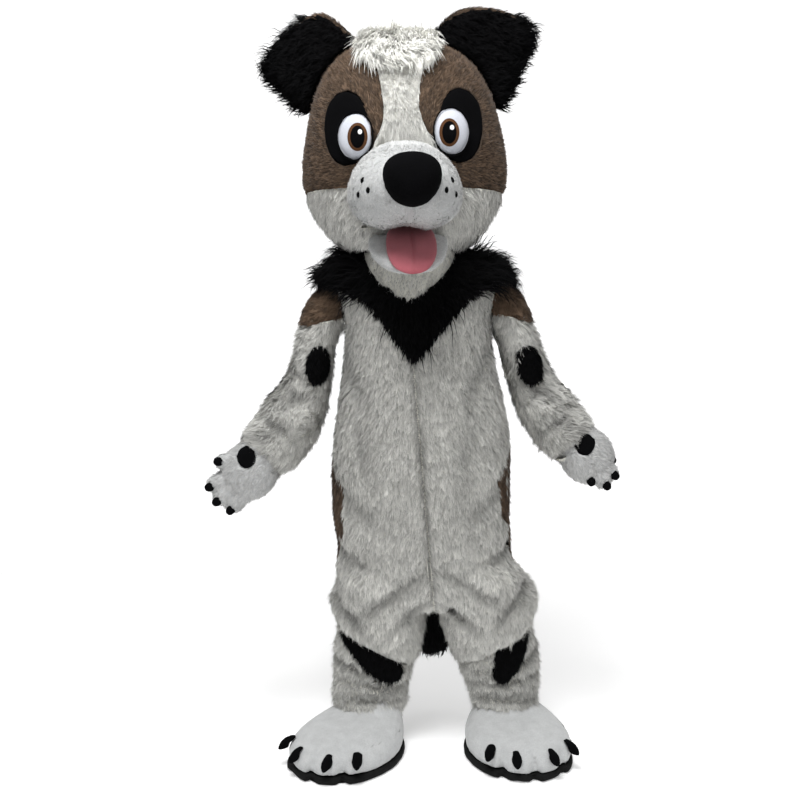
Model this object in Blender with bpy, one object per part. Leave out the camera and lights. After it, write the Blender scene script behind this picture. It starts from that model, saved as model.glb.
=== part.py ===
"""Dog mascot costume: plush head, hand paws, foot paws and a baggy one-piece suit with a tail.

Every cloth piece is a hollow wall as thick as its plush, from the backing to the tips of the
pile. The suit is modelled standing, as it is when worn, facing -Y. Heights in the tables are
above the floor; one empty then lowers everything so that the origin is where the costume
hangs on the shoulders.
"""
import math
from collections import namedtuple

import bmesh
import bpy
from mathutils import Matrix, Vector

# Driving sizes, in metres
SHOULDER_HEIGHT = 1.262
PLUSH_WALL = 0.009
HEAD_WALL = 0.015
SHOE_WALL = 0.009
SEAM = 0.0003
FLAT_ANGLE = 1.0
FAR = 2.0

# Colours of the plush and trim, as red, green, blue
WHITE = (0.72, 0.72, 0.68)
SHORT_WHITE = (0.74, 0.75, 0.77)
BLACK = (0.012, 0.012, 0.014)
TAUPE = (0.17, 0.12, 0.095)
PINK = (0.72, 0.22, 0.25)
IRIS = (0.10, 0.045, 0.02)

for leftover in list(bpy.data.objects):
    bpy.data.objects.remove(leftover, do_unlink=True)

costume = bpy.data.collections.new("dog_costume")
cutters = bpy.data.collections.new("cutters")
bpy.context.scene.collection.children.link(costume)
bpy.context.scene.collection.children.link(cutters)
cutters.hide_render = True

floor_frame = bpy.data.objects.new("floor_frame", None)
floor_frame.location = (0, 0, -SHOULDER_HEIGHT)
costume.objects.link(floor_frame)


def plush(name, colour, roughness=0.95):
    """A Principled material for one fabric."""
    material = bpy.data.materials.new(name)
    material.use_nodes = True
    shader = material.node_tree.nodes["Principled BSDF"]
    shader.inputs["Base Color"].default_value = (*colour, 1)
    shader.inputs["Roughness"].default_value = roughness
    shader.inputs["Metallic"].default_value = 0
    return material


WHITE_PLUSH = plush("white_plush", WHITE)
WHITE_VELBOA = plush("white_velboa", SHORT_WHITE, 0.85)
BLACK_PLUSH = plush("black_plush", BLACK)
TAUPE_PLUSH = plush("taupe_plush", TAUPE)
PINK_FELT = plush("pink_felt", PINK, 0.9)
BLACK_FELT = plush("black_felt", BLACK, 0.9)
EYE_WHITE = plush("eye_white", (0.62, 0.64, 0.68), 0.6)
IRIS_BROWN = plush("iris_brown", IRIS, 0.5)
SOLE_FOAM = plush("sole_foam", BLACK, 0.8)


def add_object(name, mesh, material=None, parent=floor_frame, helper=False):
    """Places a mesh in the costume, or in the cutters when it is only a helper."""
    made = bpy.data.objects.new(name, mesh)
    made.parent = parent
    if material:
        mesh.materials.clear()
        mesh.materials.append(material)
    if helper:
        cutters.objects.link(made)
        made.hide_render = True
        made.display_type = "WIRE"
    else:
        costume.objects.link(made)
    return made


def mesh_of(bm, name):
    """Closes a bmesh into a mesh with its faces pointing out."""
    bmesh.ops.recalc_face_normals(bm, faces=bm.faces)
    mesh = bpy.data.meshes.new(name)
    bm.to_mesh(mesh)
    bm.free()
    return mesh


def loft(name, rings):
    """A closed volume through rings of equal length, capped at both ends."""
    bm = bmesh.new()
    loops = [[bm.verts.new(point) for point in ring] for ring in rings]
    for below, above in zip(loops, loops[1:]):
        for i in range(len(below)):
            j = (i + 1) % len(below)
            bm.faces.new((below[i], below[j], above[j], above[i]))
    bm.faces.new(loops[0])
    bm.faces.new(loops[-1])
    bmesh.ops.triangulate(bm, faces=bm.faces, quad_method="FIXED", ngon_method="EAR_CLIP")
    return mesh_of(bm, name)


def combined(name, mesh, steps, parent=floor_frame, keep=1.0):
    """The mesh after a list of Boolean steps; keep is the share of its triangles that stay."""
    made = add_object(name, mesh.copy(), parent=parent, helper=True)
    for operation, other in steps:
        step = made.modifiers.new(operation, "BOOLEAN")
        step.operation = operation
        step.object = other
        step.use_self = True
    if keep < 1.0:
        thin = made.modifiers.new("thin", "DECIMATE")
        thin.ratio = keep
    bpy.context.view_layer.update()
    graph = bpy.context.evaluated_depsgraph_get()
    result = bpy.data.meshes.new_from_object(made.evaluated_get(graph))
    result.name = name
    bpy.data.objects.remove(made)
    tidy = bmesh.new()
    tidy.from_mesh(result)
    bmesh.ops.remove_doubles(tidy, verts=tidy.verts, dist=0.00002)
    bmesh.ops.dissolve_degenerate(tidy, edges=tidy.edges, dist=0.00001)
    bmesh.ops.triangulate(tidy, faces=tidy.faces)
    tidy.to_mesh(result)
    tidy.free()
    return result


def blended(table, count):
    """Rows read smoothly between a table's rows, count of them, by a Catmull-Rom curve."""
    row_type = type(table[0])
    found = []
    for k in range(count):
        place = k * (len(table) - 1) / (count - 1)
        i = min(int(place), len(table) - 2)
        t = place - i
        ends = [table[max(i - 1, 0)], table[i], table[i + 1], table[min(i + 2, len(table) - 1)]]
        values = []
        for a, b, c, d in zip(*ends):
            values.append(
                0.5 * (2 * b + (c - a) * t + (2 * a - 5 * b + 4 * c - d) * t**2
                       + (3 * b - a - 3 * c + d) * t**3)
            )
        found.append(row_type(*values))
    return found


def power(value, exponent):
    return math.copysign(abs(value) ** exponent, value)


def turned(degrees_away):
    """An angle difference brought to between -180 and 180 degrees."""
    return (degrees_away + 180) % 360 - 180


# A fold is a soft ridge (depth > 0) or trough (depth < 0). It is centred at an angle round the
# tube, 0 at the front and 90 at the viewer's right, and at a place along the tube. It runs at a
# slope, in degrees above the round direction, and fades over its length and width.
Fold = namedtuple("Fold", "angle place slope length width depth")


def fold_height(folds, angle, place, radius, inset=0.0):
    """How far a point of the tube moves outwards; an inset wall follows only the troughs."""
    total = 0.0
    for fold in folds:
        across = math.radians(turned(angle - fold.angle)) * radius
        up = place - fold.place
        slope = math.radians(fold.slope)
        along = across * math.cos(slope) + up * math.sin(slope)
        off = up * math.cos(slope) - across * math.sin(slope)
        total += fold.depth * math.exp(-((along / fold.length) ** 2) - (off / fold.width) ** 2)
    return (min(total, 0.0) if inset > 0.001 else total) - inset


# The trunk: one row for each level of the baggy body, from the crotch up to the neck
TrunkRow = namedtuple("TrunkRow", "height centre half_width front back")
TRUNK = [
    TrunkRow(0.370, 0.034, 0.175, 0.105, 0.115),
    TrunkRow(0.430, 0.030, 0.232, 0.150, 0.155),
    TrunkRow(0.520, 0.022, 0.226, 0.172, 0.175),
    TrunkRow(0.620, 0.015, 0.233, 0.182, 0.178),
    TrunkRow(0.720, 0.015, 0.233, 0.184, 0.172),
    TrunkRow(0.820, 0.016, 0.228, 0.180, 0.165),
    TrunkRow(0.920, 0.013, 0.212, 0.174, 0.158),
    TrunkRow(1.020, 0.008, 0.194, 0.168, 0.152),
    TrunkRow(1.110, 0.006, 0.188, 0.160, 0.148),
    TrunkRow(1.180, 0.003, 0.204, 0.148, 0.142),
    TrunkRow(1.225, 0.000, 0.216, 0.124, 0.128),
    TrunkRow(1.262, -0.004, 0.198, 0.092, 0.112),
    TrunkRow(1.292, -0.008, 0.150, 0.066, 0.094),
    TrunkRow(1.308, -0.010, 0.110, 0.046, 0.078),
]
TRUNK_SQUARENESS = 0.86
TRUNK_FOLDS = [
    Fold(-52, 0.900, 66, 0.20, 0.035, 0.010),
    Fold(56, 0.980, 112, 0.17, 0.032, 0.012),
    Fold(-30, 0.560, 55, 0.14, 0.036, -0.011),
    Fold(-62, 0.500, 30, 0.11, 0.032, 0.010),
    Fold(24, 0.520, 118, 0.13, 0.040, -0.008),
    Fold(46, 0.455, -35, 0.12, 0.034, -0.016),
    Fold(70, 0.520, -20, 0.10, 0.030, 0.010),
    Fold(-18, 0.455, 40, 0.10, 0.030, -0.010),
    Fold(150, 0.560, -30, 0.14, 0.036, -0.010),
    Fold(205, 0.600, 28, 0.15, 0.036, -0.010),
    Fold(180, 0.900, 5, 0.14, 0.040, 0.008),
    Fold(0, 0.700, 90, 0.40, 0.012, -0.004),
]


def trunk_rings(count, around, inset=0.0, reach=0.0):
    """Rings of the trunk, moved in by inset; reach carries the ends past the openings."""
    rings = []
    rows = blended(TRUNK, count)
    for number, row in enumerate(rows):
        ring = []
        height = row.height
        if number == 0:
            height -= reach - inset
        if number == count - 1:
            height += reach - inset
        for i in range(around):
            angle = 360.0 * i / around
            sine = math.sin(math.radians(angle))
            cosine = math.cos(math.radians(angle))
            push = fold_height(TRUNK_FOLDS, angle, row.height, 0.2, inset)
            depth = row.front if cosine > 0 else row.back
            x = row.centre + (row.half_width + push) * power(sine, TRUNK_SQUARENESS)
            y = -(depth + push) * power(cosine, TRUNK_SQUARENESS)
            ring.append((x, y, height))
        rings.append(ring)
    return rings


# The bloused upper legs. Each ring is tilted: rise is how much higher it is at the outer side.
LegRow = namedtuple("LegRow", "height centre half_width front back rise")
LEFT_LEG = [
    LegRow(0.262, -0.104, 0.084, 0.086, 0.092, 0.50),
    LegRow(0.275, -0.104, 0.106, 0.110, 0.110, 0.55),
    LegRow(0.302, -0.103, 0.120, 0.128, 0.124, 0.50),
    LegRow(0.342, -0.101, 0.127, 0.137, 0.133, 0.38),
    LegRow(0.390, -0.096, 0.124, 0.142, 0.142, 0.20),
    LegRow(0.442, -0.092, 0.114, 0.146, 0.148, 0.06),
    LegRow(0.500, -0.090, 0.102, 0.140, 0.140, 0.00),
]
RIGHT_LEG = [
    LegRow(0.262, 0.204, 0.084, 0.088, 0.092, 0.48),
    LegRow(0.276, 0.205, 0.104, 0.112, 0.110, 0.52),
    LegRow(0.304, 0.205, 0.116, 0.130, 0.124, 0.48),
    LegRow(0.346, 0.198, 0.127, 0.139, 0.133, 0.36),
    LegRow(0.396, 0.187, 0.134, 0.146, 0.142, 0.18),
    LegRow(0.448, 0.168, 0.122, 0.148, 0.148, 0.06),
    LegRow(0.500, 0.140, 0.104, 0.140, 0.140, 0.00),
]
LEFT_LEG_FOLDS = [
    Fold(-20, 0.345, 28, 0.09, 0.022, -0.012),
    Fold(20, 0.300, 38, 0.08, 0.020, -0.010),
    Fold(-60, 0.400, 10, 0.08, 0.024, -0.012),
    Fold(-40, 0.275, -8, 0.10, 0.018, 0.007),
    Fold(160, 0.330, -25, 0.09, 0.022, -0.011),
    Fold(200, 0.400, 20, 0.09, 0.024, -0.009),
]
RIGHT_LEG_FOLDS = [
    Fold(25, 0.350, -26, 0.10, 0.022, -0.013),
    Fold(-15, 0.300, -32, 0.08, 0.020, -0.011),
    Fold(60, 0.405, -12, 0.08, 0.022, -0.014),
    Fold(40, 0.280, 10, 0.10, 0.018, 0.007),
    Fold(200, 0.330, 25, 0.09, 0.022, -0.011),
    Fold(160, 0.400, -20, 0.09, 0.024, -0.009),
]
LEG_SQUARENESS = 0.92


def leg_rings(table, folds, outer_side, count, around, inset=0.0, reach=0.0):
    rings = []
    for number, row in enumerate(blended(table, count)):
        height = row.height - (reach if number == 0 else 0.0)
        height -= 2 * max(inset, 0) if number == count - 1 else 0.0
        ring = []
        for i in range(around):
            angle = 360.0 * i / around
            sine = math.sin(math.radians(angle))
            cosine = math.cos(math.radians(angle))
            push = fold_height(folds, angle, row.height, 0.13, inset)
            depth = row.front if cosine > 0 else row.back
            sideways = (row.half_width + push) * power(sine, LEG_SQUARENESS)
            y = -(depth + push) * power(cosine, LEG_SQUARENESS)
            ring.append((row.centre + sideways, y, height + row.rise * outer_side * sideways))
        rings.append(ring)
    return rings


# A limb tube bends along a path. Each row is a point of the path with the tube's two radii:
# flat is the one seen from the front, deep runs front to back.
LimbRow = namedtuple("LimbRow", "x y height flat deep")
LEFT_SLEEVE = [
    LimbRow(-0.120, 0.010, 1.170, 0.050, 0.055),
    LimbRow(-0.180, 0.010, 1.168, 0.060, 0.064),
    LimbRow(-0.226, 0.008, 1.138, 0.063, 0.070),
    LimbRow(-0.252, 0.005, 1.080, 0.058, 0.072),
    LimbRow(-0.264, 0.002, 1.010, 0.058, 0.072),
    LimbRow(-0.282, -0.002, 0.940, 0.070, 0.077),
    LimbRow(-0.312, -0.010, 0.873, 0.086, 0.085),
    LimbRow(-0.350, -0.020, 0.816, 0.092, 0.088),
    LimbRow(-0.388, -0.030, 0.777, 0.083, 0.079),
    LimbRow(-0.404, -0.034, 0.762, 0.066, 0.062),
]
RIGHT_SLEEVE = [
    LimbRow(0.120, 0.010, 1.180, 0.050, 0.055),
    LimbRow(0.180, 0.010, 1.178, 0.060, 0.064),
    LimbRow(0.226, 0.008, 1.150, 0.062, 0.070),
    LimbRow(0.256, 0.005, 1.090, 0.057, 0.072),
    LimbRow(0.276, 0.002, 1.020, 0.058, 0.072),
    LimbRow(0.302, -0.002, 0.950, 0.067, 0.077),
    LimbRow(0.336, -0.010, 0.888, 0.079, 0.083),
    LimbRow(0.373, -0.020, 0.842, 0.083, 0.083),
    LimbRow(0.408, -0.030, 0.809, 0.075, 0.075),
    LimbRow(0.422, -0.034, 0.798, 0.060, 0.060),
]
# Along a sleeve, place is the share of its length, from 0 inside the shoulder to 1 at the cuff
LEFT_SLEEVE_FOLDS = [
    Fold(-10, 0.37, 12, 0.10, 0.020, -0.009),
    Fold(-30, 0.58, 6, 0.10, 0.022, -0.009),
    Fold(10, 0.66, -8, 0.12, 0.022, 0.008),
    Fold(-20, 0.74, -6, 0.12, 0.020, -0.010),
    Fold(10, 0.83, 8, 0.12, 0.020, 0.007),
    Fold(0, 0.92, 5, 0.12, 0.016, -0.008),
    Fold(170, 0.62, 0, 0.10, 0.026, -0.010),
    Fold(190, 0.80, 0, 0.12, 0.024, -0.008),
]
RIGHT_SLEEVE_FOLDS = [
    Fold(10, 0.36, -12, 0.10, 0.020, -0.010),
    Fold(40, 0.56, -6, 0.10, 0.022, -0.008),
    Fold(-10, 0.65, 8, 0.12, 0.022, 0.007),
    Fold(20, 0.74, 6, 0.12, 0.020, -0.009),
    Fold(-10, 0.84, -8, 0.12, 0.020, 0.007),
    Fold(0, 0.93, -5, 0.12, 0.016, -0.007),
    Fold(190, 0.62, 0, 0.10, 0.026, -0.009),
    Fold(170, 0.80, 0, 0.12, 0.024, -0.008),
]


def limb_frames(table, count):
    """Rows along a limb with, for each, the way along it, the way across and the way forward."""
    rows = blended(table, count)
    points = [Vector((row.x, row.y, row.height)) for row in rows]
    frames = []
    for number, row in enumerate(rows):
        before = points[max(number - 1, 0)]
        after = points[min(number + 1, count - 1)]
        along = (after - before).normalized()
        across = Vector((0, -1, 0)).cross(along).normalized()
        forward = along.cross(across).normalized()
        frames.append((row, points[number], along, across, forward))
    return frames


def limb_rings(table, folds, count, around, inset=0.0, reach=0.0):
    """Rings square to a limb's path; length is used to turn a share of it into metres."""
    frames = limb_frames(table, count)
    length = sum((b[1] - a[1]).length for a, b in zip(frames, frames[1:]))
    scaled = [fold._replace(place=fold.place * length) for fold in folds]
    rings = []
    for number, (row, centre, along, across, forward) in enumerate(frames):
        if number == count - 1:
            centre = centre + along * reach
        place = length * number / (count - 1)
        ring = []
        for i in range(around):
            angle = 360.0 * i / around
            push = fold_height(scaled, angle, place, 0.07, inset)
            sideways = across * ((row.flat + push) * math.sin(math.radians(angle)))
            ahead = forward * ((row.deep + push) * math.cos(math.radians(angle)))
            ring.append(centre + sideways + ahead)
        rings.append(ring)
    return rings


def half_space(name, point, normal, parent=floor_frame):
    """A big block whose one face passes through point; the block lies behind the normal."""
    bm = bmesh.new()
    bmesh.ops.create_cube(bm, size=2 * FAR)
    direction = Vector(normal).normalized()
    turn = direction.to_track_quat("Z", "Y").to_matrix().to_4x4()
    place = Matrix.Translation(Vector(point) - direction * FAR) @ turn
    bmesh.ops.transform(bm, matrix=place, verts=bm.verts)
    return add_object(name, mesh_of(bm, name), parent=parent, helper=True)


def grown(outline, distance):
    """A flat outline with each corner moved out by distance; points run counter-clockwise."""
    moved = []
    for i, point in enumerate(outline):
        before = Vector(outline[i - 1])
        here = Vector(point)
        after = Vector(outline[(i + 1) % len(outline)])
        first = (here - before).normalized()
        second = (after - here).normalized()
        normal = Vector((first.y + second.y, -first.x - second.x)).normalized()
        widen = max(0.3, normal.dot(Vector((first.y, -first.x))))
        moved.append(here + normal * (distance / widen))
    return moved


def prism(name, outline, axes, low, high, parent=floor_frame):
    """A flat outline in two axes ('xz', 'yz' or 'xy') carried along the third, low to high."""
    third = next(letter for letter in "xyz" if letter not in axes)
    rings = []
    for level in (low, high):
        ring = []
        for first, second in outline:
            values = {axes[0]: first, axes[1]: second, third: level}
            ring.append((values["x"], values["y"], values["z"]))
        rings.append(ring)
    return add_object(name, loft(name, rings), parent=parent, helper=True)


def smooth_outline(corners, steps=4):
    """A closed outline rounded through its corner points."""
    count = len(corners)
    rounded = []
    for i in range(count):
        a, b, c, d = (Vector(corners[(i + k) % count]) for k in (-1, 0, 1, 2))
        for step in range(steps):
            t = step / steps
            rounded.append(
                0.5 * (2 * b + (c - a) * t + (2 * a - 5 * b + 4 * c - d) * t**2
                       + (3 * b - a - 3 * c + d) * t**3)
            )
    return rounded


def panel(name, shell, material, steps, parent=floor_frame):
    """One sewn piece: the shell with live Boolean steps that leave only this piece."""
    made = add_object(name, shell.copy(), material, parent)
    for operation, other in steps:
        step = made.modifiers.new(operation, "BOOLEAN")
        step.operation = operation
        step.object = other
        step.use_self = True
    merge_flat = made.modifiers.new("merge_flat", "DECIMATE")
    merge_flat.decimate_type = "DISSOLVE"
    merge_flat.angle_limit = math.radians(FLAT_ANGLE)
    return made


# The suit's walls: closed outer and inner volumes, joined and hollowed
def helper(name, mesh, parent=floor_frame):
    return add_object(name, mesh, parent=parent, helper=True)


LEG_TABLES = {
    "left": (LEFT_LEG, LEFT_LEG_FOLDS, -1),
    "right": (RIGHT_LEG, RIGHT_LEG_FOLDS, 1),
}
SLEEVE_TABLES = {
    "left": (LEFT_SLEEVE, LEFT_SLEEVE_FOLDS),
    "right": (RIGHT_SLEEVE, RIGHT_SLEEVE_FOLDS),
}
TRUNK_ROWS, TRUNK_AROUND = 19, 24
TRUNK_IN_ROWS, TRUNK_IN_AROUND = 14, 16
LEG_ROWS, LEG_AROUND = 8, 18
LEG_IN_ROWS, LEG_IN_AROUND = 6, 12
SLEEVE_ROWS, SLEEVE_AROUND = 17, 14
SLEEVE_IN_ROWS, SLEEVE_IN_AROUND = 9, 10
HEM_REACH = 0.04

leg_outer = {}
leg_inner = {}
for side, (table, folds, outer_side) in LEG_TABLES.items():
    leg_outer[side] = helper(
        side + "_leg_outer", loft("leg", leg_rings(table, folds, outer_side, LEG_ROWS, LEG_AROUND))
    )
    leg_inner[side] = helper(
        side + "_leg_inner",
        loft("leg", leg_rings(table, folds, outer_side, LEG_IN_ROWS, LEG_IN_AROUND,
                              inset=PLUSH_WALL, reach=HEM_REACH)),
    )
sleeve_outer = {}
sleeve_inner = {}
for side, (table, folds) in SLEEVE_TABLES.items():
    sleeve_outer[side] = loft("sleeve", limb_rings(table, folds, SLEEVE_ROWS, SLEEVE_AROUND))
    sleeve_inner[side] = helper(
        side + "_sleeve_inner",
        loft("sleeve", limb_rings(table, folds, SLEEVE_IN_ROWS, SLEEVE_IN_AROUND,
                                  inset=PLUSH_WALL, reach=HEM_REACH)),
    )

body_outer = combined(
    "body_outer",
    loft("trunk", trunk_rings(TRUNK_ROWS, TRUNK_AROUND)),
    [("UNION", leg_outer["left"]), ("UNION", leg_outer["right"])],
)
body_inner = helper(
    "body_inner",
    combined(
        "body_inner",
        loft("trunk", trunk_rings(TRUNK_IN_ROWS, TRUNK_IN_AROUND, inset=PLUSH_WALL)),
        [("UNION", leg_inner["left"]), ("UNION", leg_inner["right"])],
    ),
)

# The neck opening: an upright oval hole, lower at the front because the chest slopes away
NECK_CENTRE = (-0.016, -0.034)
NECK_HALF_WIDTH = 0.118
NECK_HALF_DEPTH = 0.112
NECK_AROUND = 24


def oval(centre, half_width, half_depth, around):
    return [
        (centre[0] + half_width * math.sin(2 * math.pi * i / around),
         centre[1] - half_depth * math.cos(2 * math.pi * i / around))
        for i in range(around)
    ]


neck_hole = prism(
    "neck_hole", oval(NECK_CENTRE, NECK_HALF_WIDTH, NECK_HALF_DEPTH, NECK_AROUND),
    "xy", 1.10, 1.60,
)
body_wall = combined(
    "body_wall",
    body_outer,
    [
        ("DIFFERENCE", body_inner),
        ("DIFFERENCE", neck_hole),
        ("DIFFERENCE", sleeve_inner["left"]),
        ("DIFFERENCE", sleeve_inner["right"]),
    ],
)

# The black yoke: a deep V in front and a shallow one behind, over both shoulders
YOKE_FRONT = [
    (-0.008, 1.020), (0.060, 1.098), (0.135, 1.178), (0.185, 1.226), (0.300, 1.228),
    (0.300, 1.400), (-0.300, 1.400), (-0.300, 1.214), (-0.196, 1.214), (-0.130, 1.172),
    (-0.066, 1.098),
]
YOKE_BACK = [
    (0.002, 1.080), (0.112, 1.131), (0.187, 1.203), (0.300, 1.229), (0.300, 1.400),
    (-0.300, 1.400), (-0.300, 1.215), (-0.187, 1.198), (-0.112, 1.131),
]
YOKE_SPLIT = 0.012


def cut_pair(name, outline, axes, low, high, gap_ends, parent=floor_frame):
    """Two prisms of one outline: the piece itself and, a seam wider, the hole for it."""
    piece = prism(name + "_piece", outline, axes, low, high, parent)
    wide_low = low - (SEAM if gap_ends[0] else 0)
    wide_high = high + (SEAM if gap_ends[1] else 0)
    hole = prism(name + "_hole", grown(outline, SEAM), axes, wide_low, wide_high, parent)
    return piece, hole


yoke_front, yoke_front_hole = cut_pair("yoke_front", YOKE_FRONT, "xz", -FAR, YOKE_SPLIT, (0, 1))
yoke_back, yoke_back_hole = cut_pair("yoke_back", YOKE_BACK, "xz", YOKE_SPLIT + SEAM, FAR, (1, 0))
panel("yoke_front", body_wall, BLACK_PLUSH, [("INTERSECT", yoke_front)])
panel("yoke_back", body_wall, BLACK_PLUSH, [("INTERSECT", yoke_back)])

lower_wall = combined(
    "lower_wall", body_wall, [("DIFFERENCE", yoke_front_hole), ("DIFFERENCE", yoke_back_hole)]
)

# Seen from the side, the taupe saddle covers the back and reaches forward over the flanks
SADDLE_SIDE = [
    (0.400, 0.460), (0.400, 1.400), (0.012, 1.400), (0.012, 0.760), (-0.010, 0.700),
    (-0.052, 0.640), (-0.066, 0.580), (-0.050, 0.525), (-0.006, 0.492), (0.060, 0.474),
]
SEAT_SIDE = [
    (0.400, 0.100), (0.400, 0.460 - SEAM), (0.060, 0.474 - SEAM), (0.012, 0.4868 - SEAM),
    (0.012, 0.100),
]
saddle, saddle_hole = cut_pair("saddle", SADDLE_SIDE, "yz", -FAR, FAR, (0, 0))
seat, seat_hole = cut_pair("seat", SEAT_SIDE, "yz", -FAR, FAR, (0, 0))

# The centre seam leans a little, as the worn suit hangs
CENTRE_TOP = Vector((-0.008, 0, 1.020))
CENTRE_LOW = Vector((0.046, 0, 0.396))
centre_way = (CENTRE_TOP - CENTRE_LOW).normalized()
centre_normal = Vector((0, 1, 0)).cross(centre_way)
HALVES = {
    "left": half_space("left_half", CENTRE_LOW - centre_normal * (SEAM / 2), centre_normal),
    "right": half_space("right_half", CENTRE_LOW + centre_normal * (SEAM / 2), -centre_normal),
}
front_wall = combined(
    "front_wall", lower_wall, [("DIFFERENCE", saddle_hole), ("DIFFERENCE", seat_hole)]
)
saddle_wall = combined("saddle_wall", lower_wall, [("INTERSECT", saddle)])
seat_wall = combined("seat_wall", lower_wall, [("INTERSECT", seat)])
for side, half in HALVES.items():
    panel("front_" + side, front_wall, WHITE_PLUSH, [("INTERSECT", half)])
    panel("saddle_" + side, saddle_wall, TAUPE_PLUSH, [("INTERSECT", half)])
    panel("seat_" + side, seat_wall, WHITE_PLUSH, [("INTERSECT", half)])

# Sleeves: a taupe cap over the shoulder, then a long white sleeve, both just clear of the body
body_clear = helper(
    "body_clear",
    combined(
        "body_clear",
        loft("trunk", trunk_rings(TRUNK_ROWS, TRUNK_AROUND, inset=-SEAM)),
        [],
    ),
)
CAP_SEAM = {
    "left": (Vector((-0.245, 0.0, 1.112)), Vector((-0.10, -0.05, 1.0))),
    "right": (Vector((0.250, 0.0, 1.124)), Vector((0.16, -0.05, 1.0))),
}


def arm_patch(name, centre, outward, half_wide, half_high, tilt):
    """A rounded outline cut square to outward: (piece, hole) prisms through the near wall."""
    direction = Vector(outward).normalized()
    side_way = Vector((0, 0, 1)).cross(direction).normalized()
    up_way = direction.cross(side_way)
    found = []
    for extra in (0.0, SEAM):
        rings = []
        for level in (0.0, 0.30):
            ring = []
            for i in range(14):
                around = 2 * math.pi * i / 14
                wide = (half_wide + extra) * power(math.cos(around), 0.9)
                high = (half_high + extra) * power(math.sin(around), 0.9)
                turn_wide = wide * math.cos(tilt) - high * math.sin(tilt)
                turn_high = wide * math.sin(tilt) + high * math.cos(tilt)
                ring.append(
                    Vector(centre) + direction * level + side_way * turn_wide + up_way * turn_high
                )
            rings.append(ring)
        suffix = "_hole" if extra else "_piece"
        found.append(helper(name + suffix, loft(name, rings)))
    return found


# Black spots sewn into the sleeves: centre on the arm's axis, the way it faces, half sizes, tilt
Spot = namedtuple("Spot", "centre outward half_wide half_high tilt")
SLEEVE_SPOTS = {
    "left": [
        Spot((-0.255, 0.004, 1.005), (0.15, -1, 0), 0.032, 0.048, -0.10),
        Spot((-0.300, -0.002, 0.905), (-1, 0.45, 0.55), 0.034, 0.046, 0.0),
    ],
    "right": [
        Spot((0.282, 0.003, 1.006), (0.10, -1, 0), 0.033, 0.050, 0.22),
        Spot((0.330, -0.004, 0.910), (1, 0.75, 0.50), 0.034, 0.044, 0.0),
    ],
}

for side, outer in sleeve_outer.items():
    wall = combined(
        side + "_sleeve_wall", outer,
        [("DIFFERENCE", sleeve_inner[side]), ("DIFFERENCE", body_clear)],
    )
    point, normal = CAP_SEAM[side]
    above = half_space(side + "_cap_side", point + normal.normalized() * SEAM, -normal)
    below = half_space(side + "_sleeve_side", point, normal)
    panel("cap_" + side, wall, TAUPE_PLUSH, [("INTERSECT", above)])
    holes = []
    for number, spot in enumerate(SLEEVE_SPOTS[side], 1):
        name = f"sleeve_spot_{side}_{number}"
        piece, hole = arm_patch(name, *spot)
        panel(name, wall, BLACK_PLUSH, [("INTERSECT", below), ("INTERSECT", piece)])
        holes.append(("DIFFERENCE", hole))
    panel("sleeve_" + side, wall, WHITE_PLUSH, [("INTERSECT", below), *holes])

# Shins: a furry tube from under each bloused leg down over the foot paw, with a black band spot
LEFT_SHIN = [
    LegRow(0.070, -0.115, 0.083, 0.086, 0.088, 0.0),
    LegRow(0.100, -0.119, 0.101, 0.100, 0.102, 0.0),
    LegRow(0.134, -0.119, 0.104, 0.100, 0.104, 0.0),
    LegRow(0.168, -0.115, 0.100, 0.096, 0.102, 0.05),
    LegRow(0.206, -0.112, 0.110, 0.104, 0.108, 0.15),
    LegRow(0.250, -0.108, 0.104, 0.102, 0.104, 0.35),
    LegRow(0.300, -0.104, 0.092, 0.092, 0.096, 0.50),
    LegRow(0.332, -0.103, 0.074, 0.077, 0.081, 0.50),
]
RIGHT_SHIN = [
    LegRow(0.074, 0.238, 0.084, 0.088, 0.088, 0.0),
    LegRow(0.102, 0.238, 0.090, 0.098, 0.098, 0.0),
    LegRow(0.134, 0.234, 0.094, 0.098, 0.100, 0.0),
    LegRow(0.168, 0.230, 0.100, 0.096, 0.102, 0.05),
    LegRow(0.208, 0.224, 0.110, 0.104, 0.108, 0.15),
    LegRow(0.252, 0.214, 0.104, 0.102, 0.104, 0.35),
    LegRow(0.300, 0.207, 0.090, 0.092, 0.096, 0.48),
    LegRow(0.332, 0.205, 0.072, 0.076, 0.080, 0.48),
]


def legs_grown(name, distance):
    """Both bloused legs as closed volumes, joined and grown by distance."""
    grown_right = helper(
        name + "_right",
        loft(name, leg_rings(RIGHT_LEG, RIGHT_LEG_FOLDS, 1, LEG_ROWS, LEG_AROUND, -distance)),
    )
    grown_left = loft(name, leg_rings(LEFT_LEG, LEFT_LEG_FOLDS, -1, LEG_ROWS, LEG_AROUND, -distance))
    return helper(name, combined(name, grown_left, [("UNION", grown_right)]))


legs_clear = legs_grown("legs_clear", SEAM)

# Foot paws. Each row is a level: where its middle is ahead of the ankle, half length, half width
FootRow = namedtuple("FootRow", "height ahead half_length half_width")
FOOT_SIDES = [
    FootRow(0.0183, 0.100, 0.178, 0.131),
    FootRow(0.040, 0.100, 0.184, 0.136),
    FootRow(0.064, 0.093, 0.178, 0.133),
]
FOOT_TOP = {
    "left": FOOT_SIDES + [
        FootRow(0.082, 0.067, 0.150, 0.119),
        FootRow(0.095, 0.026, 0.112, 0.100),
        FootRow(0.106, -0.016, 0.078, 0.081),
        FootRow(0.146, -0.036, 0.062, 0.065),
        FootRow(0.178, -0.040, 0.059, 0.061),
    ],
    "right": FOOT_SIDES + [
        FootRow(0.082, 0.073, 0.151, 0.119),
        FootRow(0.095, 0.042, 0.121, 0.101),
        FootRow(0.106, 0.012, 0.084, 0.082),
        FootRow(0.146, -0.006, 0.064, 0.065),
        FootRow(0.178, -0.010, 0.060, 0.061),
    ],
}
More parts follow.
